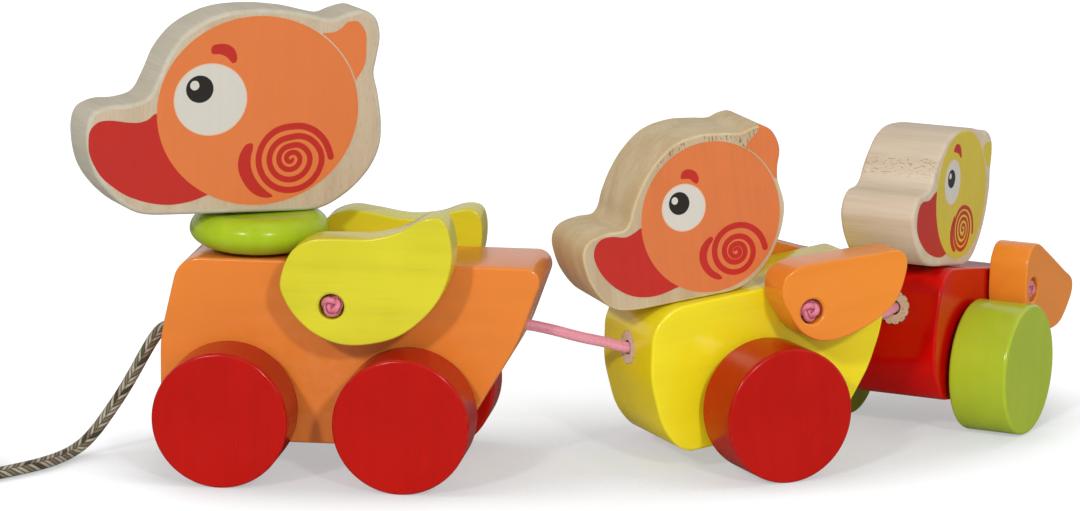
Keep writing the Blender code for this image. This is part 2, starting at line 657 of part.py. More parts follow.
def make_first_duckling(toy, paints):
    """The first duckling, on one axle, rocked nose down. It swings from the middle of its cord."""
    start = Vector(tail_mouth(MOTHER_BODY, MOTHER_TAIL_WAIST, MOTHER_LINK_HEIGHT)) * MM
    gap_end = start + Vector((*FIRST_GAP, 0)) * MM
    mouth = (1 - FIRST_FRONT, 0, FIRST_CORD_HEIGHT)
    frame = duckling_frame(gap_end, mouth, FIRST_YAW, FIRST_PITCH)
    hitch = Matrix.Translation((start + gap_end) / 2)
    swing = empty("duckling_1_hitch", toy, hitch)
    holder = empty("duckling_1", swing, hitch.inverted() @ frame)
    block, blank = body("duckling_1", holder, FIRST_BODY, FIRST_WIDTH, 0, paints["sun_yellow"])
    drill_axle(block, "duckling_1", holder, 0, FIRST_WIDTH)
    wheel_set("duckling_1", holder, FIRST_WIDTH + 2 * FIRST_WHEEL_PLAY, 0, paints["red"], paints["wood"])
    tail = tail_mouth(FIRST_BODY, FIRST_TAIL_WAIST, FIRST_CORD_HEIGHT)
    for name, place, rearward in (("duckling_1_front_plug", mouth, 1), ("duckling_1_rear_plug", tail, -1)):
        plug(name, holder, block, blank, place, rearward, LINK_CORD_DIAMETER, paints["wood"])
    wing_pair(
        "duckling_1", holder, block, DUCKLING_WING, FIRST_WIDTH, DUCKLING_WING_WIDTH, 0, FIRST_WING_PIVOT,
        FIRST_WING_TURNS, paints["wing_orange"], paints["pink"],
    )
    head(
        "duckling_1", holder, block, FIRST_HEAD, FIRST_HEAD_WIDTH, move(FIRST_NECK, 0, FIRST_TOP + CLEARANCE),
        FIRST_HEAD_TURN, 0, CLEARANCE, paints["wood"], paints["wood"],
    )
    link_cord("link_cord_1", toy, Matrix.Identity(4), start, frame, mouth, FIRST_LINK_SAG, paints["pink"])
    return frame, frame @ (Vector(tail) * MM)


def make_second_duckling(toy, first_frame, start, paints):
    """The second, smaller duckling, rocked nose up. It swings from the middle of its own cord."""
    gap_end = start + Vector((*SECOND_GAP, 0)) * MM
    mouth = (0.4 - SECOND_FRONT, SECOND_SHIFT, SECOND_CORD_HEIGHT)
    frame = duckling_frame(gap_end, mouth, SECOND_YAW, SECOND_PITCH)
    hitch = Matrix.Translation((start + gap_end) / 2)
    first_holder = bpy.data.objects["duckling_1"]
    swing = empty("duckling_2_hitch", first_holder, first_frame.inverted() @ hitch)
    holder = empty("duckling_2", swing, hitch.inverted() @ frame)
    block, blank = body("duckling_2", holder, SECOND_BODY, SECOND_WIDTH, SECOND_SHIFT, paints["bright_red"])
    drill_axle(block, "duckling_2", holder, 0, 2 * SECOND_WIDTH)
    wheel_gap = SECOND_WIDTH + SECOND_LEFT_PLAY + SECOND_RIGHT_PLAY
    wheel_set("duckling_2", holder, wheel_gap, 0, paints["leaf_green"], paints["wood"])
    plug("duckling_2_front_plug", holder, block, blank, mouth, 1, LINK_CORD_DIAMETER, paints["wood"])
    wing_pair(
        "duckling_2", holder, block, DUCKLING_WING, SECOND_WIDTH, DUCKLING_WING_WIDTH, SECOND_SHIFT,
        SECOND_WING_PIVOT, SECOND_WING_TURNS, paints["wing_orange"], paints["pink"],
    )
    head(
        "duckling_2", holder, block, SECOND_HEAD, SECOND_HEAD_WIDTH,
        move(SECOND_NECK, SECOND_SHIFT, SECOND_TOP + CLEARANCE), 0, 0, CLEARANCE, paints["wood"],
        paints["wood"],
    )
    link_cord("link_cord_2", toy, first_frame, start, frame, mouth, SECOND_LINK_SAG, paints["pink"])


def link_cord(name, toy, from_frame, start, to_frame, mouth, sag, paint):
    """A cord from inside one body's rear plug to inside the next one's front plug."""
    first = start / MM
    last = to_frame @ (Vector(mouth) * MM) / MM
    leave = from_frame.to_3x3() @ Vector((CORD_IN_PLUG, 0, 0))
    arrive = to_frame.to_3x3() @ Vector((CORD_IN_PLUG, 0, 0))
    middle = [first + Vector(offset) for offset in sag]
    points = [first - leave, first, *middle, last, last + arrive]
    tube(name, route(points, 1.25 * LINK_CORD_DIAMETER), LINK_CORD_DIAMETER, 2, paint, toy)


def pull_cord(toy, paint):
    """The pull cord as it hangs and lies, its coil and its end knot."""
    coil = coil_points()
    resting = PULL_CORD_DIAMETER / 2 + FLOOR_GAP
    mouth = Vector(PULL_MOUTH)
    points = [mouth + Vector((CORD_IN_PLUG, 0, 0)), mouth]
    for x, y, share in PULL_CORD_FALL:
        points.append(Vector((mouth.x + x, mouth.y + y, resting + (mouth.z - resting) * share)))
    for x, y in PULL_CORD_RUN:
        points.append(Vector((mouth.x + x, mouth.y + y, resting)))
    into_coil = (coil[1] - coil[0]).normalized()
    end = coil[0] - into_coil * CLEARANCE
    points.extend((end - into_coil * PULL_CORD_DIAMETER, end))
    tube("pull_cord", route(points, 2 * PULL_CORD_DIAMETER), PULL_CORD_DIAMETER, 2, paint, toy)
    tube("pull_cord_coil", coil, PULL_CORD_DIAMETER, 1, paint, toy)
    print(f"coil: least gap {least_gap(coil, PULL_CORD_DIAMETER):.2f} mm")
    ahead = (coil[-1] - coil[-2]).normalized()
    knot_place = coil[-1] + ahead * (PULL_KNOT_DIAMETER / 2 + CLEARANCE)
    facing = turn(COIL_START, "Z")
    piece("pull_cord_knot", knot_mesh("pull_cord_knot"), paint, toy, move(*knot_place) @ facing)


def clear_scene():
    for old in list(bpy.data.objects):
        bpy.data.objects.remove(old)


def main():
    clear_scene()
    paints = {
        "orange": finish("orange_lacquer", ORANGE, 0.35),
        "red": finish("red_lacquer", RED, 0.3),
        "green": finish("green_lacquer", GREEN, 0.35),
        "leaf_green": finish("leaf_green_lacquer", LEAF_GREEN, 0.35),
        "yellow": finish("yellow_lacquer", YELLOW, 0.4),
        "sun_yellow": finish("sun_yellow_lacquer", SUN_YELLOW, 0.35),
        "wing_orange": finish("wing_orange_lacquer", WING_ORANGE, 0.35),
        "bright_red": finish("bright_red_lacquer", BRIGHT_RED, 0.25),
        "wood": finish("bare_wood", BARE_WOOD, 0.6),
        "pink": finish("pink_cord", PINK, 0.5),
        "olive": finish("olive_cord", OLIVE, 0.8),
    }
    toy = empty("toy", None, move(-ORIGIN[0], -ORIGIN[1], 0))
    make_mother(toy, paints)
    first_frame, first_tail = make_first_duckling(toy, paints)
    make_second_duckling(toy, first_frame, first_tail, paints)
    pull_cord(toy, paints["olive"])


main()
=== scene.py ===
"""Finished view of a wooden pull-along duck family: a mother on four wheels and two ducklings.

Sizes are in millimetres and become metres where a mesh or a place is made. Each duck is made in its
own frame, with its origin on the floor under its front axle, and then put in its place in the row.
"""

import math

import bmesh
import bpy
from mathutils import Matrix, Vector


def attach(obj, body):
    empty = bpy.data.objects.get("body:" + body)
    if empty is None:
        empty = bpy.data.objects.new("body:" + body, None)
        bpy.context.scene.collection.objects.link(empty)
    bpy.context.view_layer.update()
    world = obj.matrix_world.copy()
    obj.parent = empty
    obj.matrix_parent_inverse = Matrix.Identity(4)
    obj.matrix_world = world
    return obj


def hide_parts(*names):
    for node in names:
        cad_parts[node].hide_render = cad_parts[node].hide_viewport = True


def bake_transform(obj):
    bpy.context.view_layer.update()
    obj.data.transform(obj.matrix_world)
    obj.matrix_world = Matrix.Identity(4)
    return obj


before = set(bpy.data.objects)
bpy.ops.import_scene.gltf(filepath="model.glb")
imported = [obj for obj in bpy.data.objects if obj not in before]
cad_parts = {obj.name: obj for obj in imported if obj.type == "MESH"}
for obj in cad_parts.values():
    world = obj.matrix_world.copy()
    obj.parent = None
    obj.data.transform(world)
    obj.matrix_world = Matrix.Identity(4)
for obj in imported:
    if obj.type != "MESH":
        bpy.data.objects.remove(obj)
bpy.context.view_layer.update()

MM = 0.001
WHITE = (1.0, 1.0, 1.0, 1.0)

# Sizes of the wooden pieces
AXLE_HEIGHT = 20.0
AXLE_BORE = 6.6
WHEEL_DIAMETER = 40.0
WHEEL_THICKNESS = 18.5
WHEEL_ROUNDING = 1.0
WHEEL_BORE_RADIUS = 3.3
WHEEL_BORE_FLOOR = 6.5
DUCKLING_2_SHIFT = -3.5
BLOCK_ROUNDING = 0.9
DOWEL_BORE = 8.6
HEAD_BORE_DEPTH = 20.3
RING_RADIUS = 20.5
RING_BORE_RADIUS = 4.8
RING_HEIGHT = 11.6
PLUG_DIAMETER = 10.0
PLUG_DEPTH = 10.0
PLUG_FLUTES = 12
FLUTE_DEPTH = 0.5

# Sizes of the wings, their pockets and the knots in them
WING_GAP = 0.6
WING_ROUNDING = 0.6
WING_CORD_BORE = 3.8
WING_CORD_DIAMETER = 3.2
POCKET_RADIUS = 3.8
POCKET_DEPTH = 5.0
POCKET_RIM_RADIUS = 4.6
POCKET_RIM_DEPTH = 0.45
WING_KNOT_RADIUS = 3.5
WING_KNOT_CORD = 2.4
WING_KNOT_DEPTH = 4.6
WING_CORD_END = 4.8

# Sizes of the cords and the coil
PULL_CORD_DIAMETER = 3.6
LINK_CORD_DIAMETER = 3.2
CORD_IN_PLUG = 6.5
COIL_START = -50.0
COIL_TURNS = 3.0
COIL_MIDDLE = (-94.5, -31.0, 2.0)
COIL_RADIUS = 23.0
COIL_STEP = 4.15
COIL_TAIL = 26.0
KNOT_RADIUS = 4.2
KNOT_CORD = 3.4
KNOT_DEPTH = 6.6
KNOT_CLEARANCE = 0.3

# The sides of a duck: which way each lies along Y, and how far its pieces are turned about Z
SIDES = (("left", -1, 0), ("right", 1, 180))


def move(x, y, z):
    """A step in millimetres."""
    return Matrix.Translation(Vector((x, y, z)) * MM)


def turn(degrees, axis):
    """A turn about an axis through the origin."""
    return Matrix.Rotation(math.radians(degrees), 4, axis)


def rocked(x, y, facing, nose_up):
    """The place of a duckling that faces some way and is rocked on its axle."""
    lifted = move(x, y, AXLE_HEIGHT) @ turn(facing, "Z") @ turn(nose_up, "Y")
    return lifted @ move(0, 0, -AXLE_HEIGHT)


# The three ducks, the seats of their heads and the cord mouths
MOTHER = move(-98.0, -52.5, 0)
DUCKLING_1 = rocked(45.488, -23.163, 31.5, -7.0)
DUCKLING_2 = rocked(96.467, 30.314, 70.0, 9.5)
MOTHER_SEAT = move(5.5, 0, 76.493) @ turn(31.5, "Z") @ turn(2.4, "Y")
DUCKLING_1_SEAT = move(-14, 0, 54.0) @ turn(-4.0, "Z")
DUCKLING_2_SEAT = move(-10, DUCKLING_2_SHIFT, 49.6)
MOTHER_RING_SEAT = move(5.5, 0, 70.1)
MOTHER_FRONT_MOUTH = (-21.4, 0, 40.1)
MOTHER_REAR_MOUTH = (85.283, 0, 44.0)
DUCKLING_1_FRONT_MOUTH = (-33.0, 0, 40.0)
DUCKLING_1_REAR_MOUTH = (44.017, 0, 40.0)
DUCKLING_2_FRONT_MOUTH = (-28.6, DUCKLING_2_SHIFT, 36.0)

# Side outlines of the bodies, as corners (x, z, radius)
MOTHER_BODY = [
    (-21.5, 9.5, 16), (-21.4, 40, 40), (-15.8, 64, 8), (92.4, 64, 4.3), (84.2, 41, 60),
    (65.5, 9.5, 12),
]
DUCKLING_1_BODY = [
    (-26, 9.6, 8), (-31.8, 18, 20), (-34, 33, 28), (-31, 53.7, 12), (46.7, 53.7, 4.2),
    (42.9, 34.5, 40), (37, 22.6, 30), (27, 9.6, 9),
]
DUCKLING_2_BODY = [
    (-18.5, 9, 8), (-27.2, 18, 16), (-29, 32, 26), (-26.3, 49.3, 10), (42, 49.3, 3.5), (36, 33, 40),
    (21, 9, 9),
]

# Side outlines of the heads, from the middle of their seat
MOTHER_HEAD = [
    (-30, 0), (-40.4, 0.9), (-48.4, 6), (-54.4, 13.8), (-56.6, 24), (-55.3, 30), (-50.5, 32.5),
    (-44, 32.9), (-38.5, 34.7), (-35.4, 40), (-32, 47.6), (-26.3, 54), (-17, 58.6), (-6, 60),
    (6, 59.2), (14.5, 57.4), (18.2, 56.9), (22.5, 58.4), (27.5, 59.2), (31.6, 56.8), (33.2, 51.5),
    (32.4, 45), (31.7, 40.5), (33.2, 34.5), (34.6, 26), (34.3, 18.5), (31, 11.5), (24.5, 5),
    (16.5, 0.7), (8, 0),
]
DUCKLING_1_HEAD = [
    (-18, 0), (-26.5, 1.9), (-31.9, 9), (-34, 17), (-33.3, 21.2), (-30.4, 23.6), (-25, 24.5),
    (-20.6, 24.5), (-18.6, 26.5), (-17.1, 30.4), (-13.7, 36.5), (-9, 42.2), (-2.4, 46.9),
    (5.9, 48.4), (13.5, 47.6), (18.6, 46.8), (22, 47.7), (25.4, 47.7), (28.6, 45.3), (30.3, 40),
    (29.1, 34.5), (28.8, 31), (30.1, 23), (28.3, 15.4), (23.9, 7.8), (18, 2.4), (10, 0),
]
DUCKLING_2_HEAD = [
    (-16, 0), (-26, 1.3), (-33.5, 6.8), (-37.6, 13.5), (-37, 18), (-34, 21.3), (-28.8, 22.6),
    (-25.8, 24.8), (-24, 28.6), (-20.5, 33.6), (-16.5, 37.8), (-11, 40.6), (-4, 41.8), (5, 42.2),
    (11, 41.6), (15.8, 41.6), (19.4, 39.6), (21, 35.5), (20.9, 30), (21.5, 24), (19.8, 15),
    (16.5, 8), (11, 2), (4, 0),
]

# Side outlines of the wings, from the hole they turn on
MOTHER_WING = [
    (-15.1, 6.4), (-13.6, 1.3), (-10.3, -3.6), (-5, -8.1), (2, -10.9), (9.5, -11), (18.7, -8.6),
    (26, -3.4), (31.6, 3.6), (34.9, 13), (34.5, 21.6), (32, 26.6), (27.4, 26.6), (20.1, 22.7),
    (11.4, 20.3), (0.5, 20), (-6, 19.4), (-11.9, 15.5),
]
DUCKLING_WING = [
    (-9, 6.7), (-7.6, 1.4), (-4, -5.4), (1, -9), (7, -10), (14.9, -8.7), (22.5, -6), (27.9, -2.1),
    (31.4, 4.3), (32.6, 9.6), (30.3, 12.6), (23, 13.1), (13.8, 13.6), (5, 14), (-2.7, 14),
    (-7.4, 11.7),
]

# The printed faces. An ellipse is its middle, its half sizes and its turn in degrees. A curl is its
# middle, its distances from there at each quarter turn, the turn that it starts at and its stroke.
MOTHER_FACE = {
    "cheek": (-4.4, 30.1, 31.2, 27.8, -2.6),
    "eye": (-19.3, 33.7, 11, 10.3, -1),
    "pupil": (-22.7, 36.8, 4.2, 4, 0),
    "glint": (-24.3, 37.9, 1.4, 1.4, 0),
    "brow": [
        (-19.6, 47.9), (-19.1, 49.4), (-16.9, 49.9), (-14.5, 49.7), (-12.5, 48.4), (-11.6, 46.4),
        (-11.7, 44.7), (-12.8, 44.2), (-13.7, 45), (-14.9, 46.1), (-16.8, 46.9), (-19, 47),
    ],
    "beak": [
        (-55.9, 21.7), (-55.8, 24.6), (-54.8, 26.5), (-53, 27.8), (-50.6, 28.2), (-47.6, 28),
        (-44.2, 27.5), (-40.9, 27.4), (-38.2, 28.2), (-36.1, 29.8), (-28, 32), (-14, 20), (-14, 8),
        (-20.4, 5.3), (-23.1, 4.3), (-26.1, 3.6), (-30.7, 3.1), (-35.3, 3.5), (-39.9, 4.6),
        (-44.5, 6.4), (-48.5, 9), (-51.9, 11.9), (-54.4, 15.8), (-55.6, 19),
    ],
    "crescent": [
        (-6, 20.5), (-7.9, 20.2), (-9.6, 17.6), (-10.2, 14.9), (-9.8, 12), (-8.4, 9.2), (-6.4, 6.7),
        (-3.7, 4.9), (-0.6, 4.3), (0.9, 4.8), (-1, 6.3), (-3.3, 8.4), (-5.2, 11.1), (-6.2, 14),
        (-6.2, 16.9), (-5.7, 19.1),
    ],
    "curl": ((6.1, 15.8), [
        12.6, 9.4, 10.1, 9.4, 10, 6.2, 6.7, 6.3, 6.2, 3.7, 3.7, 3.3, 3, 1.6, 1.3, 0.9, 0.3,
    ], 1, 2),
    "crest": [
        (13.6, 52), (15.5, 52.6), (18.6, 52.9), (20.8, 54.1), (22.3, 55.6), (23.9, 56),
        (25.8, 55.8), (27.4, 54.3), (28.5, 51.9), (28.7, 48.6), (28.7, 44.8), (27.9, 41.9),
        (26.4, 39.5), (25.2, 38), (22.8, 40.2), (20.5, 43.3), (17.5, 46.6), (14.5, 49.4),
    ],
}
DUCKLING_1_FACE = {
    "cheek": (6.6, 23.5, 21.8, 22.5, -8),
    "eye": (-1.5, 27.8, 6.6, 6.8, -8),
    "pupil": (-2.8, 29.3, 3.2, 3.4, 0),
    "glint": (-4.1, 30.3, 1, 1.1, 0),
    "brow": [
        (-1.5, 36.5), (-0.9, 38.4), (1.1, 38.9), (3.2, 37.8), (4, 35.9), (3.5, 34.2), (2.4, 34.6),
        (1.4, 35.8), (-0.1, 36.2),
    ],
    "beak": [
        (-30.6, 18), (-29.8, 21.2), (-27.9, 22.9), (-24.4, 23.2), (-20.5, 22.3), (-17.9, 22.9),
        (-15.2, 24.2), (-8, 26), (-2, 14), (-2, 6), (-6.3, 4.4), (-13.1, 3.2), (-19.3, 4.2),
        (-24.6, 7.5), (-28.7, 12.5),
    ],
    "crescent": [
        (6.4, 17.5), (5.2, 17.4), (3, 15.6), (1.9, 13.2), (1.8, 10.8), (2.8, 8), (4.7, 5.7),
        (7, 4.4), (8.3, 4.6), (7.6, 5.8), (5.6, 7.6), (4.4, 9.8), (4.2, 12.4), (5.2, 14.8),
        (6.6, 16.7),
    ],
    "curl": ((13.5, 11.9), [
        9.1, 7.7, 6.9, 6.3, 5.3, 4.4, 3.8, 3.3, 2.8, 2.2, 1.9, 1.6, 1.1, 0.6, 0.3,
    ], -3, 1.85),
    "crest": [
        (19.8, 42.4), (21.6, 44.4), (23.9, 46.4), (25.6, 50), (34, 50), (34, 32), (30, 31),
        (27, 32), (24, 36), (21, 40),
    ],
}
DUCKLING_2_FACE = {
    "cheek": (-1.9, 21.9, 19.6, 19.6, 0),
    "eye": (-9.9, 25.6, 5.9, 6.7, 0),
    "pupil": (-11, 26.6, 2.8, 2.8, 0),
    "glint": (-12.1, 27.4, 0.9, 0.9, 0),
    "brow": [
        (-10.9, 34.9), (-9.9, 36.8), (-8.3, 37.3), (-6.3, 36.8), (-5, 35.2), (-4.5, 33.3),
        (-5.3, 33.1), (-6.8, 34.2), (-8.8, 34.6),
    ],
    "beak": [
        (-34.9, 13.3), (-34.8, 16), (-33.6, 18.4), (-31.4, 19.6), (-28.8, 19.8), (-26.3, 20.2),
        (-22.1, 22.5), (-14, 24), (-8, 12), (-9, 5), (-12.9, 3), (-18.5, 3), (-24.5, 4.2),
        (-29, 6.2), (-32.4, 8.6), (-34.2, 10.8),
    ],
    "crescent": [
        (-5.9, 15.5), (-6.9, 14.2), (-8, 11.8), (-8.2, 9.4), (-7.3, 6.8), (-5.4, 4.9), (-3.4, 4.4),
        (-3, 5.2), (-4.8, 6.9), (-5.8, 9.3), (-5.9, 11.8), (-5.4, 14),
    ],
    "curl": ((1.6, 11.5), [
        8, 6.6, 7.2, 6.6, 5.4, 4.9, 5.2, 4.8, 3.7, 3.1, 3.1, 2.8, 1.9, 1.2, 1, 0.6, 0.2,
    ], -8, 1.3),
    "crest": [
        (13, 36), (14.6, 37.7), (17, 38.2), (24, 38.2), (24, 31), (17.5, 31), (15, 33.2),
    ],
}

# How the pull cord falls from the mother's breast to the floor and runs on to its coil
PULL_CORD_FALL = [
    (-2.9, 0, 0.965), (-6.1, 0, 0.853), (-11.4, 0, 0.606), (-14.9, -0.4, 0.449),
    (-18.6, -0.9, 0.301), (-22.5, -1.8, 0.156), (-25.9, -3.6, 0.057), (-28.8, -7.2, 0.008),
]
PULL_CORD_RUN = [(-30.6, -12.5), (-33, -18.8), (-36.2, -24.6), (-43.6, -34.5), (-50.9, -42.2)]
FIRST_LINK_SAG = [(6.7, 1.2, -1.4), (14.7, 4.7, -4.1), (22.2, 8.3, -6.3)]
SECOND_LINK_SAG = [(2.9, 1.5, -1.2), (5.1, 2.5, -4.2), (7, 3.2, -5.9), (9.1, 4.3, -5.1)]


# Lines and outlines


def curve_between(before, start, end, after, share):
    """The point at a share of the way from start to end, on a smooth curve through all four."""
    length_before = (start - before).length
    length = (end - start).length
    length_after = (after - end).length
    leave = (end - before) * (length / (length_before + length))
    arrive = (after - start) * (length / (length + length_after))
    s2 = share * share
    s3 = s2 * share
    return (
        start * (2 * s3 - 3 * s2 + 1)
        + leave * (s3 - 2 * s2 + share)
        + end * (3 * s2 - 2 * s3)
        + arrive * (s3 - s2)
    )


def smooth_outline(points, steps=8, lowest=-100.0):
    """A closed curve through the points, planed flat where it would dip under the lowest height."""
    corners = [Vector(point) for point in points]
    count = len(corners)
    outline = []
    for i in range(count):
        four = [corners[(i + k) % count] for k in (-1, 0, 1, 2)]
        for step in range(steps):
            point = curve_between(*four, step / steps)
            outline.append((point.x, max(point.y, lowest)))
    return outline


def rounded_outline(corners):
    """A closed polygon whose corners (x, z, radius) are arcs."""
    outline = []
    count = len(corners)
    for i in range(count):
        here = Vector(corners[i][:2])
        back = (Vector(corners[i - 1][:2]) - here).normalized()
        ahead = (Vector(corners[(i + 1) % count][:2]) - here).normalized()
        bend = math.pi - back.angle(ahead)
        radius = corners[i][2]
        centre = here + (back + ahead).normalized() * (radius / math.cos(bend / 2))
        first = here + back * (radius * math.tan(bend / 2)) - centre
        side = math.copysign(1.0, back.cross(ahead))
        steps = max(3, round(math.degrees(bend) / 3))
        for step in range(steps + 1):
            angle = -side * bend * step / steps
            cosine, sine = math.cos(angle), math.sin(angle)
            outline.append((
                centre.x + first.x * cosine - first.y * sine,
                centre.y + first.x * sine + first.y * cosine,
            ))
    return outline


def ellipse(x, z, half_width, half_height, lean, grown=0.0):
    """The outline of an ellipse, leaning by some degrees and grown all round."""
    cosine, sine = math.cos(math.radians(lean)), math.sin(math.radians(lean))
    outline = []
    for step in range(96):
        angle = math.tau * step / 96
        across = (half_width + grown) * math.cos(angle)
        up = (half_height + grown) * math.sin(angle)
        outline.append((x + across * cosine - up * sine, z + across * sine + up * cosine))
    return outline


def curl(middle, reach, start, stroke):
    """The outline of a printed spiral whose stroke thins towards its middle."""
    centre = Vector(middle)
    line = []
    for quarter, (here, there) in enumerate(zip(reach, reach[1:])):
        for step in range(14):
            share = step / 14
            angle = math.radians(start + 90 * (quarter + share))
            far = here + (there - here) * share
            line.append(centre + far * Vector((math.cos(angle), math.sin(angle))))
    for _ in range(3):
        line = [line[0], *((a + b * 2 + c) / 4 for a, b, c in zip(line, line[1:], line[2:])), line[-1]]
    outer, inner = [], []
    for i, point in enumerate(line):
        ahead = (line[min(i + 1, len(line) - 1)] - line[max(i - 1, 0)]).normalized()
        beside = Vector((-ahead.y, ahead.x)) * (stroke / 2) * (1 - 0.28 * i / len(line))
        outer.append(point - beside)
        inner.append(point + beside)
    cap = []
    back = (line[0] - line[1]).normalized()
    for step in range(1, 8):
        angle = math.pi * step / 8
        cap.append(line[0] + (inner[0] - line[0]) * math.cos(angle) + back * (stroke / 2) * math.sin(angle))
    return [(point.x, point.y) for point in (*reversed(inner), *cap, *outer)]


def route(points, steps=8):
    """A smooth curve through the given points."""
    given = [Vector(point) for point in points]
    ends = [given[0] * 2 - given[1], *given, given[-1] * 2 - given[-2]]
    line = []
    for i in range(1, len(ends) - 2):
        line.extend(curve_between(*ends[i - 1:i + 3], step / steps) for step in range(steps))
    line.append(given[-1])
    return line


# Shapes


def meshed(shape, name="blank"):
    """The shape as a mesh. The shape itself is used up."""
    mesh = bpy.data.meshes.new(name)
    shape.to_mesh(mesh)
    shape.free()
    return mesh


def linked(name, data):
    """A new object in the scene that shows the data."""
    made = bpy.data.objects.new(name, data)
    bpy.context.scene.collection.objects.link(made)
    return made


def drawn_out(corners, way):
    """A flat face with the given corners, drawn out into a solid along a way."""
    shape = bmesh.new()
    face = shape.faces.new([shape.verts.new((x * MM, y * MM, z * MM)) for x, y, z in corners])
    raised = bmesh.ops.extrude_face_region(shape, geom=[face])["geom"]
    moved = [part for part in raised if isinstance(part, bmesh.types.BMVert)]
    bmesh.ops.translate(shape, verts=moved, vec=[step * MM for step in way])
    return shape


def plank(outline, width, rounding=BLOCK_ROUNDING):
    """A board sawn to an outline in X and Z, centred on Y, with both its rims sanded round."""
    shape = drawn_out([(x, -width / 2, z) for x, z in outline], (0, width, 0))
    rims = [edge for edge in shape.edges if abs(edge.verts[0].co.y - edge.verts[1].co.y) < 1e-7]
    bmesh.ops.bevel(
        shape, geom=rims, offset=rounding * MM, segments=6, profile=0.5, material=-1, affect="EDGES"
    )
    sides = [face for face in shape.faces if len(face.verts) > 8]
    bmesh.ops.inset_individual(shape, faces=sides, thickness=0.25 * MM, use_even_offset=True)
    bmesh.ops.recalc_face_normals(shape, faces=shape.faces)
    return shape


def turned(profile, steps=96):
    """A shape turned on the Y axis from (radius, place along Y) pairs."""
    shape = bmesh.new()
    points = [shape.verts.new((radius * MM, along * MM, 0)) for radius, along in profile]
    edges = [shape.edges.new(pair) for pair in zip(points, points[1:])]
    if profile[0][0] > 0:
        edges.append(shape.edges.new((points[-1], points[0])))
    bmesh.ops.spin(
        shape, geom=points + edges, axis=(0, 1, 0), cent=(0, 0, 0), angle=math.tau, steps=steps,
        use_merge=True,
    )
    bmesh.ops.remove_doubles(shape, verts=shape.verts, dist=1e-6)
    bmesh.ops.recalc_face_normals(shape, faces=shape.faces)
    return shape


def drill(diameter, length, place):
    """A drill along the place's Y axis, a length long about its origin."""
    radius, half = diameter / 2, length / 2
    shape = turned([(0, -half), (radius, -half), (radius, half), (0, half)], 48)
    shape.transform(place)
    return shape


def carved(shape, tools, operation="DIFFERENCE"):
    """The shape with each tool cut out of it, or only the part inside the tool."""
    carriers = [linked("blank", meshed(part)) for part in (shape, *tools)]
    block = carriers[0]
    for tool in carriers[1:]:
        change = block.modifiers.new("cut", "BOOLEAN")
        change.solver = "EXACT"
        change.operation = operation
        change.object = tool
    bpy.context.view_layer.update()
    cut = bmesh.new()
    cut.from_mesh(block.evaluated_get(bpy.context.evaluated_depsgraph_get()).data)
    for carrier in carriers:
        mesh = carrier.data
        bpy.data.objects.remove(carrier)
        bpy.data.meshes.remove(mesh)
    return cut


def tube(points, diameter, sides):
    """A cord along a line, with UVs: once round in U, and millimetres along in V."""
    frames = []
    facing = None
    for i, point in enumerate(points):
        ahead = (points[min(i + 1, len(points) - 1)] - points[max(i - 1, 0)]).normalized()
        if facing is None:
            facing = ahead.to_track_quat("Z", "Y")
        else:
            facing = (facing @ Vector((0, 0, 1))).rotation_difference(ahead) @ facing
        frames.append(Matrix.Translation(point * MM) @ facing.to_matrix().to_4x4())
    shape = bmesh.new()
    uv = shape.loops.layers.uv.new("UVMap")
    spoke = shape.verts.layers.int.new("spoke")
    along = shape.verts.layers.float.new("along")
    ring = bmesh.ops.create_circle(
        shape, cap_ends=False, segments=sides, radius=diameter / 2 * MM, matrix=frames[0]
    )["verts"]
    for number, vert in enumerate(ring):
        vert[spoke] = number
    edges = list(shape.edges)
    length = 0.0
    ends = [list(edges)]
    for i in range(1, len(frames)):
        length += (points[i] - points[i - 1]).length
        grown = bmesh.ops.extrude_edge_only(shape, edges=edges)["geom"]
        verts = [part for part in grown if isinstance(part, bmesh.types.BMVert)]
        fresh = set(verts)
        edges = [
            part for part in grown
            if isinstance(part, bmesh.types.BMEdge) and part.verts[0] in fresh and part.verts[1] in fresh
        ]
        bmesh.ops.transform(shape, verts=verts, matrix=frames[i] @ frames[i - 1].inverted())
        for vert in verts:
            vert[along] = length
    ends.append(edges)
    for face in shape.faces:
        spokes = [loop.vert[spoke] for loop in face.loops]
        for loop, number in zip(face.loops, spokes):
            last = number == 0 and sides - 1 in spokes
            loop[uv].uv = ((sides if last else number) / sides, loop.vert[along])
    for rim in ends:
        bmesh.ops.edgeloop_fill(shape, edges=rim)
    bmesh.ops.recalc_face_normals(shape, faces=shape.faces)
    return shape


def fluted_dowel(diameter, length, flutes, depth):
    """A dowel along X with flutes pressed along its side."""
    corners = []
    count = flutes * 8
    for step in range(count):
        angle = math.tau * step / count
        radius = diameter / 2 - depth * max(0.0, math.cos(flutes * angle)) ** 2
        corners.append((-length, radius * math.cos(angle), radius * math.sin(angle)))
    shape = drawn_out(corners, (2 * length, 0, 0))
    bmesh.ops.recalc_face_normals(shape, faces=shape.faces)
    return shape


def patch(outline, low, high):
    """A flat patch with an outline in X and Z, between two places along Y."""
    shape = drawn_out([(x, low, z) for x, z in outline], (0, high - low, 0))
    bmesh.ops.recalc_face_normals(shape, faces=shape.faces)
    return shape


def gathered(parts):
    """One shape from pairs of a shape and the number of its finish."""
    whole = bmesh.new()
    for part, finish in parts:
        for face in part.faces:
            face.material_index = finish
        mesh = meshed(part)
        whole.from_mesh(mesh)
        bpy.data.meshes.remove(mesh)
    return whole


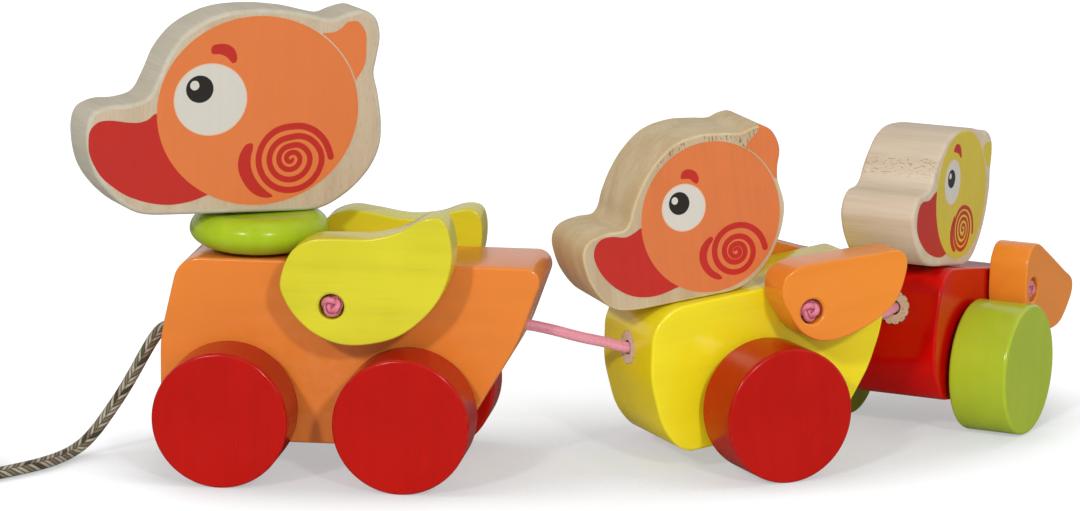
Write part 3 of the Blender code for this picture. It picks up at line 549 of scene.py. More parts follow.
def piece(name, shape, place, body, finishes, nodes=()):
    """Puts a shape in its place as one piece that rides on a body and stands for its nodes.

    Each point keeps its place before the move, and a value that is 1 in the middle of a round rim.
    """
    shape.normal_update()
    own = [value / MM for vert in shape.verts for value in vert.co]
    lean = [2 / math.pi * math.acos(min(abs(vert.normal.y), 1.0)) for vert in shape.verts]
    mesh = meshed(shape, name)
    mesh.attributes.new("own_place", "FLOAT_VECTOR", "POINT").data.foreach_set("vector", own)
    rim = [4 * share * (1 - share) for share in lean]
    mesh.attributes.new("rim", "FLOAT", "POINT").data.foreach_set("value", rim)
    mesh.transform(place)
    mesh.shade_smooth()
    mesh.set_sharp_from_angle(angle=math.radians(38))
    for finish in finishes:
        mesh.materials.append(finish)
    shown = linked(name, mesh)
    if body:
        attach(shown, body)
    if nodes:
        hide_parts(*nodes)
    return shown


# Finishes


class Wire:
    """A socket in a finish's nodes. Arithmetic on wires and numbers adds Math nodes."""

    def __init__(self, tree, socket):
        self.tree = tree
        self.socket = socket

    def node(self, kind, settings, sockets, output=0):
        """A new node fed by wires and plain values, as the wire of one of its outputs."""
        made = self.tree.nodes.new(kind)
        for name, value in settings.items():
            setattr(made, name, value)
        for key, value in sockets.items():
            if isinstance(value, Wire):
                self.tree.links.new(value.socket, made.inputs[key])
            else:
                made.inputs[key].default_value = value
        return Wire(self.tree, made.outputs[output])

    def maths(self, operation, *others):
        """A Math node of this wire and the others."""
        return self.node("ShaderNodeMath", {"operation": operation}, dict(enumerate((self, *others))))

    def __add__(self, other):
        return self.maths("ADD", other)

    def __sub__(self, other):
        return self.maths("SUBTRACT", other)

    def __rsub__(self, other):
        return self.node("ShaderNodeMath", {"operation": "SUBTRACT"}, {0: other, 1: self})

    def __mul__(self, other):
        return self.maths("MULTIPLY", other)

    def __truediv__(self, other):
        return self.maths("DIVIDE", other)

    __radd__ = __add__
    __rmul__ = __mul__

    def between(self, low, high):
        """0 below low and 1 above high, with a soft step between them."""
        sockets = {"Value": self, "From Min": low, "From Max": high}
        return self.node("ShaderNodeMapRange", {"interpolation_type": "SMOOTHSTEP"}, sockets)

    def mixed(self, first, second):
        """The first colour where this is 0 and the second where it is 1."""
        return self.node("ShaderNodeMix", {"data_type": "RGBA"}, {0: self, 6: first, 7: second}, 2)

    def axis(self, number):
        """One coordinate of this place: 0 for X, 1 for Y and 2 for Z."""
        return self.node("ShaderNodeSeparateXYZ", {}, {0: self}, number)

    def noise(self, scale, detail=2.0, roughness=0.5):
        """Cloudy noise over this place, with a scale along each axis."""
        place = self.node("ShaderNodeMapping", {}, {"Vector": self, "Scale": scale})
        return self.node("ShaderNodeTexNoise", {}, {
            "Vector": place, "Scale": 1.0, "Detail": detail, "Roughness": roughness,
        })

    def bump(self, strength, depth):
        """A normal from this height, with a depth in millimetres."""
        sockets = {"Strength": strength, "Distance": depth * MM, "Height": self}
        return self.node("ShaderNodeBump", {}, sockets)


def linear(colour, shade=1.0):
    """A screen colour, 0 to 255, as the linear values that a shader takes."""
    parts = [min(max(part * shade, 0), 255) / 255 for part in colour]
    return (
        *(part / 12.92 if part <= 0.04045 else ((part + 0.055) / 1.055) ** 2.4 for part in parts),
        1.0,
    )


def started(name, **sockets):
    """A new material, its shader, a wire to its nodes and the sockets that stay as they are set."""
    material = bpy.data.materials.new(name)
    material.use_nodes = True
    tree = material.node_tree
    shader = tree.nodes["Principled BSDF"]
    for key, value in sockets.items():
        shader.inputs[key.replace("_", " ")].default_value = value
    return material, shader, Wire(tree, None)


def joined(shader, **wires):
    """Leads each wire to the shader's socket of its name."""
    for key, wire in wires.items():
        wire.tree.links.new(wire.socket, shader.inputs[key.replace("_", " ")])


def own_place(start):
    """The place on the piece before it was put in the row, in millimetres."""
    return start.node("ShaderNodeAttribute", {"attribute_name": "own_place"}, {}, 1)


def along_grain(axis, along, across):
    """Noise scales that are along the grain on one axis and across it on the others."""
    return tuple(along if letter == axis else across for letter in "XYZ")


def lacquer(name, colour, grain="X", streak=0.5, gloss=0.18, shine=0.45):
    """Paint under clear lacquer on sanded beech, whose grain still shows faintly."""
    material, shader, start = started(name, IOR=1.5, Specular_IOR_Level=shine)
    place = own_place(start)
    rim = start.node("ShaderNodeAttribute", {"attribute_name": "rim"}, {}, 2)
    bands = place.noise(along_grain(grain, 0.012, 0.22), 3.0).between(0.3, 0.7)
    fibres = place.noise(along_grain(grain, 0.05, 1.1), 2.0, 0.6).between(0.58, 0.8)
    clouds = place.noise((0.05, 0.05, 0.05)).between(0.3, 0.7)
    specks = place.noise((1.3, 1.3, 1.3), 3.0, 0.6).between(0.62, 0.8)
    tone = bands * 0.5 + clouds * 0.5
    paint = tone.mixed(linear(colour, 1 - 0.035 * streak), linear(colour, 1 + 0.03 * streak))
    paint = (fibres * (0.16 * streak)).mixed(paint, linear(colour, 0.74))
    paint = (specks * (0.08 * streak)).mixed(paint, linear(colour, 0.6))
    # Paler in patches on the sanded rims: partly lacquer worn thin on the rounding, partly a painted
    # highlight where the rounding catches the light.
    lighter = [part + (255 - part) * 0.25 for part in colour]
    wear_and_highlight = place.noise((0.35, 0.35, 0.35), 3.0).between(0.35, 0.75)
    paint = (rim * rim * wear_and_highlight * 0.2).mixed(paint, linear(lighter))
    joined(shader, Base_Color=paint, Roughness=clouds * 0.04 + fibres * 0.06 + gloss)
    joined(shader, Normal=(bands * 0.6 + fibres * 0.5).bump(0.06, 0.03))
    return material


def bare_wood(name, pale, dark, grain, flecks, fleck_bands=None, fleck_size=1.0, own=True):
    """Sanded beech with its grain and the short brown flecks of its rays."""
    material, shader, start = started(name, IOR=1.45)
    if own:
        place = own_place(start)
    else:
        place = start.node("ShaderNodeTexCoord", {}, {}, 3)
        place = place.node("ShaderNodeMapping", {}, {"Vector": place, "Scale": (1000, 1000, 1000)})
    warp = place.noise((0.06, 0.06, 0.06))
    bands = place.noise(along_grain(grain, 0.012, 0.17), 3.0).between(0.3, 0.7)
    fibres = place.noise(along_grain(grain, 0.06, 1.5), 3.0, 0.6).between(0.4, 0.7)
    dust = place.noise((3.4, 3.4, 3.4), 2.0, 0.6).between(0.5, 0.75)
    marks = along_grain(grain, 0.38 / fleck_size, 1.6 / fleck_size)
    marks = place.noise(marks, 1.0, 0.4).between(0.6, 0.66)
    if fleck_bands:
        height = place.axis(2) + (warp - 0.5) * 3
        low, high = fleck_bands
        marks = marks * height.between(low - 0.6, low + 0.6) * (1 - height.between(high - 0.6, high + 0.6))
    tone = bands * 0.6 + warp * 0.4
    wood = tone.mixed(linear(dark), linear(pale))
    wood = (fibres * 0.16).mixed(wood, linear(dark, 0.84))
    wood = (dust * 0.14).mixed(wood, linear(dark, 0.78))
    wood = (marks * flecks).mixed(wood, linear((128, 98, 68)))
    joined(shader, Base_Color=wood, Roughness=fibres * 0.1 + dust * 0.06 + 0.5)
    joined(shader, Normal=(bands * 0.4 + fibres * 0.5 - marks * 0.6).bump(0.14, 0.05))
    return material


def printed(name, colour, streak):
    """Ink printed straight on the wood, whose upright grain shows through it."""
    material, shader, start = started(name, IOR=1.45)
    place = own_place(start)
    bands = place.noise(along_grain("Z", 0.03, 0.7), 3.0, 0.6).between(0.35, 0.65)
    dust = place.noise((3.5, 3.5, 3.5), 2.0, 0.6).between(0.45, 0.75)
    clouds = place.noise((0.09, 0.09, 0.09)).between(0.3, 0.7)
    tone = bands * 0.5 + clouds * 0.5
    ink = tone.mixed(linear(colour, 1 - 0.04 * streak), linear(colour, 1 + 0.025 * streak))
    ink = (dust * 0.08 * streak).mixed(ink, linear([part * 0.6 + 60 for part in colour]))
    joined(shader, Base_Color=ink, Roughness=dust * 0.08 + 0.4)
    joined(shader, Normal=(bands + dust).bump(0.06, 0.02))
    return material


def cord_place(start):
    """A cord's UV map, and its wires along the cord in millimetres and round it from 0 to 1."""
    uv = start.node("ShaderNodeUVMap", {"uv_map": "UVMap"}, {})
    return uv, uv.axis(1), uv.axis(0)


def pink_strands(name, colour, twist, depth):
    """A soft pink cord laid up from three glossy strands of fine yarn."""
    material, shader, start = started(name, IOR=1.45, Sheen_Weight=0.25, Sheen_Roughness=0.4)
    uv, along, round_it = cord_place(start)
    strand = (round_it * 3 + along / twist).maths("FRACT")
    shaded_groove = (strand - 0.5).maths("ABSOLUTE").between(0.3, 0.5)
    yarn = ((round_it * 21 + along / (twist * 0.45)) * math.tau).maths("SINE")
    fuzz = uv.noise((16.0, 1.6, 1.0), 3.0, 0.7).between(0.3, 0.7)
    paint = fuzz.mixed(linear(colour, 0.93), linear(colour, 1.06))
    paint = ((yarn * 0.5 + 0.5) * 0.18).mixed(paint, linear(colour, 0.8))
    # Darker towards maroon in the grooves between the strands: painted shade in the creases, as strong as
    # depth says.
    paint = (shaded_groove * depth).mixed(paint, linear((120, 36, 60)))
    joined(shader, Base_Color=paint, Roughness=fuzz * 0.1 + 0.34)
    joined(shader, Normal=(yarn * 0.12 - shaded_groove + fuzz * 0.2).bump(0.5, 0.16))
    return material


def braid(name):
    """The pull cord: a round plait of tan, olive and near black yarns in four leaning columns."""
    material, shader, start = started(name, IOR=1.4, Sheen_Weight=0.15, Sheen_Roughness=0.5)
    uv, along, round_it = cord_place(start)
    column = (round_it * 4).maths("FLOOR")
    across = (round_it * 4).maths("FRACT") - 0.5
    leaning = column.maths("MODULO", 2.0)
    row = along / 2.1 + across * (leaning * 2 - 1) * 2.0 + leaning * 0.5
    thread = row.maths("FRACT") - 0.5
    pick = (row.maths("FLOOR") * 0.382 + column * 0.27).maths("FRACT")
    crown = 1 - thread.maths("ABSOLUTE") * 2
    beside = 1 - across.maths("ABSOLUTE") * 2
    fibre = uv.noise((30.0, 4.0, 1.0), 3.0, 0.7).between(0.3, 0.7)
    tan = fibre.mixed(linear((160, 150, 130)), linear((214, 204, 184)))
    olive = fibre.mixed(linear((104, 96, 66)), linear((150, 140, 104)))
    black = fibre.mixed(linear((52, 45, 30)), linear((86, 77, 52)))
    yarn = pick.between(0.52, 0.56).mixed(tan, olive)
    yarn = pick.between(0.84, 0.88).mixed(yarn, black)
    # Near black between the picks, and half as dark between the columns: painted shade in the crevices of
    # the plait.
    gap_shade = 1 - crown.between(0.0, 0.7) * (beside.between(0.0, 0.3) * 0.5 + 0.5)
    yarn = (gap_shade * 0.85).mixed(yarn, linear((44, 36, 24)))
    joined(shader, Base_Color=yarn, Roughness=fibre * 0.15 + 0.62)
    joined(shader, Normal=(crown.between(0.0, 0.8) + beside * 0.5 + fibre * 0.25).bump(0.7, 0.3))
    return material


ORANGE = lacquer("orange lacquer", (230, 131, 50))
RED = lacquer("red lacquer", (182, 16, 6), "Z", 0.9, 0.2, 0.22)
GREEN = lacquer("green lacquer", (166, 191, 32), "Y", 0.7, 0.2, 0.2)
LEAF_GREEN = lacquer("leaf green lacquer", (172, 190, 42), "Z", 0.6)
YELLOW = lacquer("yellow lacquer", (215, 205, 40), "X", 1.0, 0.22)
SUN_YELLOW = lacquer("sun yellow lacquer", (240, 222, 28))
WING_ORANGE = lacquer("wing orange lacquer", (236, 138, 44))
BRIGHT_RED = lacquer("bright red lacquer", (204, 6, 2), "X", 0.6, 0.14, 0.3)
MOTHER_WOOD = bare_wood("speckled face wood", (208, 189, 161), (192, 170, 141), "Z", 0.12)
MOTHER_EDGE = bare_wood("smooth edge wood", (206, 197, 178), (192, 181, 158), "Y", 0.03)
FACE_WOOD = bare_wood(
    "flecked face wood", (206, 186, 154), (184, 158, 122), "Z", 0.9, (40.0, 48.0), 0.75
)
EDGE_WOOD = bare_wood("sawn edge wood", (218, 200, 162), (200, 170, 122), "Z", 0.03)
PALE_EDGE = bare_wood(
    "pale edge wood", (222, 204, 182), (206, 184, 156), "Y", 0.6, (26.5, 32.0), 0.55
)
PALE_FACE = bare_wood("pale face wood", (222, 204, 178), (206, 184, 154), "Y", 0.1)
DOWEL_WOOD = bare_wood("dowel wood", (208, 188, 156), (180, 154, 118), "X", 0.3, own=False)
PLUG_WOOD = bare_wood("plug wood", (238, 212, 186), (222, 190, 162), "X", 0.3)
PINK_LINK = pink_strands("pink link cord", (238, 156, 174), 60.0, 0.12)
# The knot cord gets far more painted shade in its grooves than the link cord.
PINK_KNOT = pink_strands("pink knot cord", (226, 124, 146), 5.0, 0.9)
BRAID = braid("braided pull cord")
FACE_INKS = {
    "mother": printed("orange ink", (224, 121, 60), 0.3),
    "duckling_1": printed("orange ink on grain", (218, 118, 60), 0.6),
    "duckling_2": printed("yellow ink", (212, 188, 58), 0.4),
}
RED_INK = printed("red ink", (192, 36, 24), 0.5)
WHITE_INK = printed("white ink", (211, 205, 194), 0.2)
BLACK_INK = printed("black ink", (40, 36, 32), 0.3)
RING_INK = printed("pale ink", (226, 186, 154), 0.2)


# The camera and the cords

camera = linked("camera", bpy.data.cameras.new("camera"))
camera.data.lens = 154.448
camera.data.sensor_width = 36.0
camera.data.clip_start = 0.1
camera.data.clip_end = 20.0
camera.matrix_world = (
    move(163.793, -1366.967, 333.879) @ turn(7.5, "Z") @ turn(78.5285, "X") @ turn(0.3732, "Z")
)
bpy.context.scene.camera = camera


def coil_line():
    """The unseen length of the pull cord: a flat spiral in, a climb of one layer, and out again."""
    start = math.radians(COIL_START)
    ahead = Vector((math.sin(start), -math.cos(start), 0))
    centre = Vector(COIL_MIDDLE)
    points = []
    count = round(COIL_TURNS * 24)
    for step in range(count + 1):
        turns = COIL_TURNS * step / count
        radius = COIL_RADIUS - COIL_STEP * min(turns, COIL_TURNS - turns)
        climb = min(max((turns - COIL_TURNS / 2) * 2 + 0.5, 0.0), 1.0)
        height = COIL_STEP * climb * climb * (3 - 2 * climb)
        angle = start - math.tau * turns
        points.append(centre + Vector((radius * math.cos(angle), radius * math.sin(angle), height)))
    points.insert(0, points[0] - ahead * PULL_CORD_DIAMETER)
    drop = points[-1].z - KNOT_RADIUS - 0.2
    last = points[-1]
    for share in (0.2, 0.4, 0.55, 0.7, 0.85, 1.0):
        late = min(max((share - 0.4) / 0.45, 0.0), 1.0)
        lower = Vector((0, 0, drop * late * late * (3 - 2 * late)))
        points.append(last + ahead * (COIL_TAIL * share) - lower)
    return points


def overhand(radius, thick, depth):
    """The line of a small overhand knot about the origin, flat across Y."""
    middle = (radius - thick / 2) / 1.42
    line = []
    for step in range(97):
        angle = math.tau * step / 96
        far = middle * (1 + 0.42 * math.cos(3 * angle))
        lift = (depth - thick) / 2 * math.sin(3 * angle)
        line.append(Vector((far * math.cos(2 * angle), lift, far * math.sin(2 * angle))))
    return line


def pull_cord():
    """One braided cord from the mother's breast to the floor, its coil and its end knot."""
    offset = MOTHER.to_translation() / MM
    mouth = Vector(MOTHER_FRONT_MOUTH)
    resting = PULL_CORD_DIAMETER / 2 + 0.2
    coil = coil_line()
    points = [mouth + Vector((CORD_IN_PLUG, 0, 0)), mouth]
    for x, y, share in PULL_CORD_FALL:
        points.append(Vector((mouth.x + x, mouth.y + y, resting + (mouth.z - resting) * share)))
    points.extend(Vector((mouth.x + x, mouth.y + y, resting)) for x, y in PULL_CORD_RUN)
    into_coil = (coil[1] - coil[0]).normalized()
    points.append(coil[0] - into_coil * PULL_CORD_DIAMETER)
    line = [point + offset for point in route([*points, *coil], 5)]
    shown = piece(
        "pull_cord_braid", tube(line, PULL_CORD_DIAMETER, 20), Matrix.Identity(4), "mother", [BRAID]
    )
    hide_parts("pull_cord", "pull_cord_coil")
    ahead = (coil[-1] - coil[-2]).normalized()
    middle = coil[-1] + ahead * (KNOT_RADIUS + KNOT_CLEARANCE) + offset
    facing = Matrix.Translation(middle * MM) @ turn(COIL_START, "Z")
    knot = tube(overhand(KNOT_RADIUS, KNOT_CORD, KNOT_DEPTH), KNOT_CORD, 14)
    knot_piece = piece(
        "pull_cord_end_knot", knot, facing, "mother", [BRAID], ["pull_cord_knot"]
    )
    length = sum((b - a).length for a, b in zip(line, line[1:]))
    line[0] * MM
    [point * MM for point in line]


def link_cord(name, from_frame, start, to_frame, mouth, sag):
    """A pink cord from inside one body's rear plug to inside the next one's front plug."""
    first = from_frame @ (Vector(start) * MM) / MM
    last = to_frame @ (Vector(mouth) * MM) / MM
    leave = from_frame.to_3x3() @ Vector((CORD_IN_PLUG, 0, 0))
    arrive = to_frame.to_3x3() @ Vector((CORD_IN_PLUG, 0, 0))
    points = [first - leave, first, *(first + Vector(offset) for offset in sag), last, last + arrive]
    shape = tube(route(points, 8), LINK_CORD_DIAMETER, 24)
    shown = piece(f"{name}_strands", shape, Matrix.Identity(4), None, [PINK_LINK], [name])
    first * MM
    last * MM
    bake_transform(shown)


pull_cord()
link_cord(
    "link_cord_1", MOTHER, MOTHER_REAR_MOUTH, DUCKLING_1, DUCKLING_1_FRONT_MOUTH, FIRST_LINK_SAG,
)
link_cord(
    "link_cord_2", DUCKLING_1, DUCKLING_1_REAR_MOUTH, DUCKLING_2, DUCKLING_2_FRONT_MOUTH, SECOND_LINK_SAG,
)


# The wooden pieces


def wheel_shape():
    """A wheel with its plain face towards -Y and a blind axle bore in its other face."""
    radius = WHEEL_DIAMETER / 2
    beside = WHEEL_ROUNDING + 0.2
    corner = []
    for step in range(8):
        angle = math.pi / 2 * step / 7
        corner.append((
            radius - WHEEL_ROUNDING + WHEEL_ROUNDING * math.sin(angle),
            WHEEL_ROUNDING - WHEEL_ROUNDING * math.cos(angle),
        ))
    inner = [(reach, WHEEL_THICKNESS - depth) for reach, depth in reversed(corner)]
    return turned([
        (0, 0), (radius - beside, 0), *corner, (radius, beside), (radius, WHEEL_THICKNESS - beside),
        *inner, (radius - beside, WHEEL_THICKNESS), (WHEEL_BORE_RADIUS, WHEEL_THICKNESS),
        (WHEEL_BORE_RADIUS, WHEEL_BORE_FLOOR), (0, WHEEL_BORE_FLOOR),
    ])


def wheels(duck):
    """The two wheels of each axle."""
    paint, slot = duck["wheel_paint"]
    for name, along in duck["axles"].items():
        for side, _, facing in SIDES:
            middle = duck["place"] @ move(along, 0, AXLE_HEIGHT) @ turn(facing, "Z")
            place = middle @ move(0, -duck["wheel_gap"] / 2 - WHEEL_THICKNESS, 0)
            node = f"{name}_wheel_{side}"
            piece(f"{node}_turned", wheel_shape(), place, f"{name}_wheels", [paint], [node])
        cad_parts[f"{name}_axle"].data.materials[0] = DOWEL_WOOD


def plug_shape(outline, width, shift, mouth, cord_diameter):
    """A fluted plug at a cord's mouth, cut flush with the body's curve and bored for the cord."""
    dowel = fluted_dowel(PLUG_DIAMETER, PLUG_DEPTH, PLUG_FLUTES, FLUTE_DEPTH)
    dowel.transform(move(*mouth))
    block = plank(outline, width)
    block.transform(move(0, shift, 0))
    trimmed = carved(dowel, [block], "INTERSECT")
    return carved(trimmed, [drill(cord_diameter + 1.2, 40.0, move(*mouth) @ turn(90, "Z"))])


def body(name, duck):
    """A body block with its bores, and the fluted plugs let into it."""
    place, width, shift, pivot = duck["place"], duck["width"], duck["shift"], duck["pivot"]
    paint, slot = duck["paint"]
    outline = rounded_outline(duck["corners"])
    block = plank(outline, width)
    block.transform(move(0, shift, 0))
    axles = [move(along, 0, AXLE_HEIGHT) for along in duck["axles"].values()]
    holes = [drill(AXLE_BORE, 2 * width, axle) for axle in axles]
    holes.append(drill(WING_CORD_BORE, 2 * width, move(pivot[0], shift, pivot[1])))
    holes.append(drill(DOWEL_BORE, 2 * duck["dowel_depth"], duck["seat"] @ turn(90, "X")))
    for end, (mouth, cord_diameter) in duck["plugs"].items():
        node = f"{name}_{end}_plug"
        holes.append(drill(PLUG_DIAMETER + 0.1, 2 * PLUG_DEPTH + 0.6, move(*mouth) @ turn(90, "Z")))
        shape = plug_shape(outline, width, shift, mouth, cord_diameter)
        piece(f"{node}_fluted", shape, place, name, [PLUG_WOOD], [node])
    piece(f"{name}_block", carved(block, holes), place, name, [paint], [f"{name}_body"])


def wings(name, duck):
    """Two wings with a pocket for the knots of the cord that holds them."""
    width, shift, pivot = duck["width"], duck["shift"], duck["pivot"]
    wing_width = duck["wing_width"]
    paint, slot = duck["wing_paint"]
    outer = width / 2 + WING_GAP + wing_width
    outline = smooth_outline(duck["wing"])
    half = wing_width / 2
    past = 2 * wing_width
    for side, way, facing in SIDES:
        hole = turned([
            (0, -past), (POCKET_RIM_RADIUS, -past), (POCKET_RIM_RADIUS, -half - 0.2),
            (POCKET_RADIUS, POCKET_RIM_DEPTH - half), (POCKET_RADIUS, POCKET_DEPTH - half),
            (WING_CORD_BORE / 2, POCKET_DEPTH - half), (WING_CORD_BORE / 2, past), (0, past),
        ], 64)
        hole.transform(turn(facing, "Z"))
        shape = carved(plank(outline, wing_width, WING_ROUNDING), [hole])
        out = shift + way * (outer - half)
        place = duck["place"] @ move(pivot[0], out, pivot[1]) @ turn(duck["hang"][side], "Y")
        node = f"{name}_wing_{side}"
        piece(f"{node}_board", shape, place, f"{node}_turning", [paint], [node])
    end = outer - WING_CORD_END
    shaft = [Vector((0, y, 0)) for y in (-end, -width / 2, width / 2, end)]
    cords = [(tube(shaft, WING_CORD_DIAMETER, 16), 0)]
    for way in (-1, 1):
        knot = tube(overhand(WING_KNOT_RADIUS, WING_KNOT_CORD, WING_KNOT_DEPTH), WING_KNOT_CORD, 14)
        knot.transform(move(0, way * (outer - WING_KNOT_CORD), 0) @ turn(40 * way, "Y"))
        cords.append((knot, 0))
    place = duck["place"] @ move(pivot[0], shift, pivot[1])
    piece(
        f"{name}_wing_cord_knotted", gathered(cords), place, name, [PINK_KNOT], [f"{name}_wing_cord"],
    )


def face_print(face, outline, width, rounding, way):
    """The printed face on one side. Each ink lies a hair above the one that it is printed on.

    The large prints run over the head's sanded rim, so they are cut from a slightly thicker head.
    """
    half = width / 2
    cheek_ink, red, white, black, ring, wood = range(6)
    skins = [
        (smooth_outline(face["crest"], 6), 0.04, cheek_ink),
        (ellipse(*face["cheek"], 0.4), 0.06, wood),
        (smooth_outline(face["beak"], 6), 0.08, red),
        (ellipse(*face["cheek"]), 0.10, cheek_ink),
    ]
    flats = [
        (ellipse(*face["eye"], 0.3), 0.12, ring),
        (ellipse(*face["eye"]), 0.14, white),
        (ellipse(*face["pupil"]), 0.16, black),
        (ellipse(*face["glint"]), 0.18, white),
        (smooth_outline(face["brow"], 6), 0.12, red),
        (smooth_outline(face["crescent"], 6), 0.12, red),
        (curl(*face["curl"]), 0.12, red),
    ]
    prints = []
    for shown, level, ink in skins:
        slab = patch(shown, way * (half - 1.1), way * (half + 1.0))
        prints.append((carved(slab, [plank(outline, width + 2 * level, rounding)], "INTERSECT"), ink))
    for shown, level, ink in flats:
        prints.append((patch(shown, way * (half - 0.1), way * (half + level)), ink))
    return gathered(prints)


def head(name, duck):
    """A sawn head with its printed faces, bored for its dowel."""
    width, rounding, woods = duck["head_width"], duck["head_rounding"], duck["woods"]
    outline = smooth_outline(duck["head"], 8, 0.0)
    shape = carved(plank(outline, width, rounding), [drill(DOWEL_BORE, 2 * HEAD_BORE_DEPTH, turn(90, "X"))])
    shape.normal_update()
    for part in shape.faces:
        part.material_index = 0 if abs(part.normal.y) > 0.995 else 1
    place = duck["place"] @ duck["seat"]
    rides = f"{name}_head_turning"
    piece(f"{name}_head_sawn", shape, place, rides, woods, [f"{name}_head"])
    inks = [FACE_INKS[name], RED_INK, WHITE_INK, BLACK_INK, RING_INK, woods[0]]
    for side, way, _ in SIDES:
        shape = face_print(duck["face"], outline, width, rounding, way)
        piece(f"{name}_print_{side}", shape, place, rides, inks)
    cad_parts[f"{name}_head_dowel"].data.materials[0] = DOWEL_WOOD


def ring_shape():
    """The turned ring between the mother's body and her head, along Y, fuller above than below."""
    half = RING_HEIGHT / 2
    side = []
    for step in range(41):
        height = -math.cos(math.pi * step / 40)
        flat, deep = (15.0, 0.9) if height > 0.1 else (8.5, 1.1)
        bulge = math.sqrt(max(1 - ((height - 0.1) / deep) ** 2, 0))
        side.append((flat + (RING_RADIUS - flat) * bulge, half * height))
    return turned([(RING_BORE_RADIUS, -half), *side, (RING_BORE_RADIUS, half)])


# Each duck's pieces. Its wings hang tail down by some degrees, and its dowel goes in by its depth.
DUCKS = {
    "mother": {
        "place": MOTHER, "corners": MOTHER_BODY, "width": 30.0, "shift": 0,
        "paint": (ORANGE, "orange_lacquer"),
        "axles": {"mother_front": 0, "mother_rear": 53.0}, "wheel_gap": 33.0,
        "wheel_paint": (RED, "red_lacquer"),
        "wing": MOTHER_WING, "wing_width": 12.0, "pivot": (31.7, 53.3),
        "hang": {"left": 0, "right": 10}, "wing_paint": (YELLOW, "yellow_lacquer"),
        "head": MOTHER_HEAD, "head_width": 16.0, "head_rounding": 1.3, "face": MOTHER_FACE,
        "woods": [MOTHER_WOOD, MOTHER_EDGE], "seat": MOTHER_SEAT, "dowel_depth": 27.85,
        "plugs": {
            "front": (MOTHER_FRONT_MOUTH, PULL_CORD_DIAMETER),
            "rear": (MOTHER_REAR_MOUTH, LINK_CORD_DIAMETER),
        },
    },
    "duckling_1": {
        "place": DUCKLING_1, "corners": DUCKLING_1_BODY, "width": 34.0, "shift": 0,
        "paint": (SUN_YELLOW, "sun_yellow_lacquer"),
        "axles": {"duckling_1": 0}, "wheel_gap": 39.0, "wheel_paint": (RED, "red_lacquer"),
        "wing": DUCKLING_WING, "wing_width": 12.5, "pivot": (13.8, 47.3),
        "hang": {"left": 0, "right": 21}, "wing_paint": (WING_ORANGE, "wing_orange_lacquer"),
        "head": DUCKLING_1_HEAD, "head_width": 27.0, "head_rounding": 0.7, "face": DUCKLING_1_FACE,
        "woods": [FACE_WOOD, EDGE_WOOD], "seat": DUCKLING_1_SEAT, "dowel_depth": 15.6,
        "plugs": {
            "front": (DUCKLING_1_FRONT_MOUTH, LINK_CORD_DIAMETER),
            "rear": (DUCKLING_1_REAR_MOUTH, LINK_CORD_DIAMETER),
        },
    },
    "duckling_2": {
        "place": DUCKLING_2, "corners": DUCKLING_2_BODY, "width": 29.0, "shift": DUCKLING_2_SHIFT,
        "paint": (BRIGHT_RED, "bright_red_lacquer"),
        "axles": {"duckling_2": 0}, "wheel_gap": 39.0,
        "wheel_paint": (LEAF_GREEN, "leaf_green_lacquer"),
        "wing": DUCKLING_WING, "wing_width": 12.5, "pivot": (15.7, 43.6),
        "hang": {"left": 17, "right": 17}, "wing_paint": (WING_ORANGE, "wing_orange_lacquer"),
        "head": DUCKLING_2_HEAD, "head_width": 24.0, "head_rounding": 1.2, "face": DUCKLING_2_FACE,
        "woods": [PALE_FACE, PALE_EDGE], "seat": DUCKLING_2_SEAT, "dowel_depth": 15.6,
        "plugs": {"front": (DUCKLING_2_FRONT_MOUTH, LINK_CORD_DIAMETER)},
    },
}
for name, duck in DUCKS.items():
    body(name, duck)
    wheels(duck)
    wings(name, duck)
    if name == "mother":
        piece(
            "mother_neck_ring_turned", ring_shape(), MOTHER @ MOTHER_RING_SEAT @ turn(90, "X"),
            "mother_ring_turning", [GREEN], ["mother_neck_ring"],
        )
    head(name, duck)


# The floor, the lamps and the white room


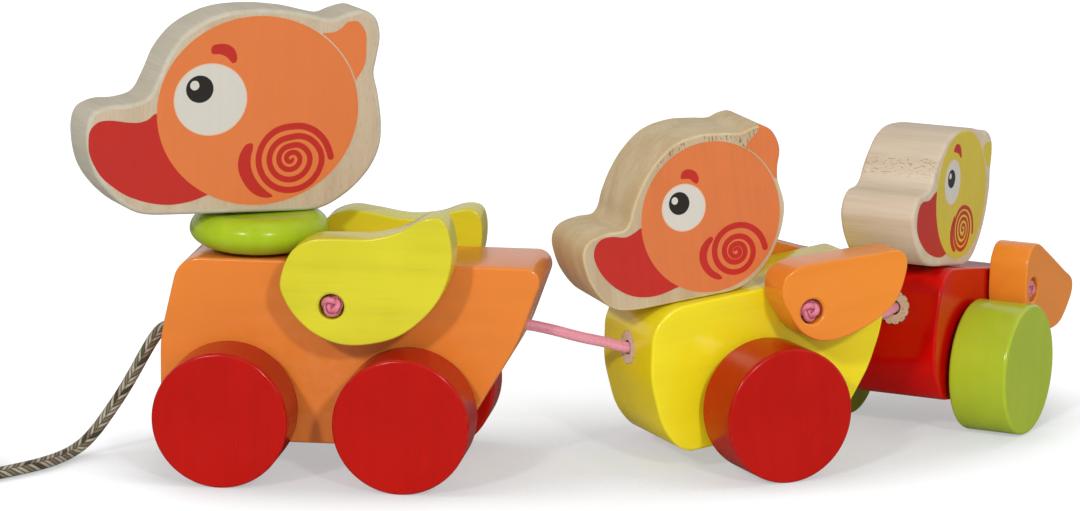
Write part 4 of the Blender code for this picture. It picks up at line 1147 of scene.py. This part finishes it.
def make_floor():
    """A wide white floor that keeps the toy's shadow and shows white where no shadow falls."""
    shape = bmesh.new()
    bmesh.ops.create_grid(shape, x_segments=2, y_segments=2, size=4.0)
    floor = linked("floor", meshed(shape, "floor"))
    material = bpy.data.materials.new("white floor")
    material.use_nodes = True
    tree = material.node_tree
    tree.nodes.remove(tree.nodes["Principled BSDF"])
    start = Wire(tree, None)
    rays = tree.nodes.new("ShaderNodeLightPath")
    seen = Wire(tree, rays.outputs["Is Camera Ray"])
    mirrored = Wire(tree, rays.outputs["Is Glossy Ray"])
    # The camera glow dims where ambient occlusion finds the toy close: a painted shade on the floor under
    # and around the toy.
    openness_for_painted_shade = start.node("ShaderNodeAmbientOcclusion", {"samples": 8}, {"Distance": 0.1}, 1)
    # To glossy rays the floor shows dark grey: a painted shade in what the glossy pieces reflect of it.
    white = (mirrored * 0.75).mixed((0.86, 0.91, 0.93, 1.0), (0.1, 0.1, 0.1, 1.0))
    white = seen.mixed(white, (0.41, 0.435, 0.445, 1.0))
    paint = start.node("ShaderNodeBsdfDiffuse", {}, {"Color": white})
    glow = start.node("ShaderNodeEmission", {}, {
        "Color": WHITE, "Strength": seen * (openness_for_painted_shade.between(0.5, 0.93) * 0.43 + 0.43),
    })
    both = start.node("ShaderNodeAddShader", {}, {0: paint, 1: glow})
    tree.links.new(both.socket, tree.nodes["Material Output"].inputs["Surface"])
    floor.data.materials.append(material)


def lamp(name, azimuth, elevation, strength, softness):
    """A sun lamp that shines from an azimuth, 0 from the camera's side and 90 from the right."""
    data = bpy.data.lights.new(name, "SUN")
    data.energy = strength
    data.angle = math.radians(softness)
    linked(name, data).matrix_world = turn(azimuth, "Z") @ turn(90 - elevation, "X")


def make_room():
    """The world: plain white to the camera, and a studio that is dimmer on the camera's side."""
    world = bpy.data.worlds.new("white room")
    world.use_nodes = True
    bpy.context.scene.world = world
    tree = world.node_tree
    start = Wire(tree, None)
    rays = tree.nodes.new("ShaderNodeLightPath")
    camera_ray = Wire(tree, rays.outputs["Is Camera Ray"])
    mirrored = Wire(tree, rays.outputs["Is Glossy Ray"]) + Wire(tree, rays.outputs["Is Transmission Ray"])
    way = start.node("ShaderNodeTexCoord", {}, {}, "Generated")
    sideways, depth, height = way.axis(0), way.axis(1), way.axis(2)
    studio = 0.06 + depth.between(-0.4, 0.3) * 0.72 + height.between(0.3, 0.9) * 0.15
    soft = 0.34 + sideways * sideways * 0.3 + sideways.between(0.2, 1.0) * 0.14 - depth * 0.15
    strength = camera_ray + (1 - camera_ray) * (mirrored * studio + (1 - mirrored) * soft)
    background = tree.nodes["Background"]
    background.inputs["Color"].default_value = WHITE
    tree.links.new(strength.socket, background.inputs["Strength"])


make_floor()
lamp("left lamp", -20, 29, 1.02, 5)
lamp("right lamp", 28, 27, 0.95, 5)
make_room()
bpy.context.scene.view_settings.view_transform = "Standard"
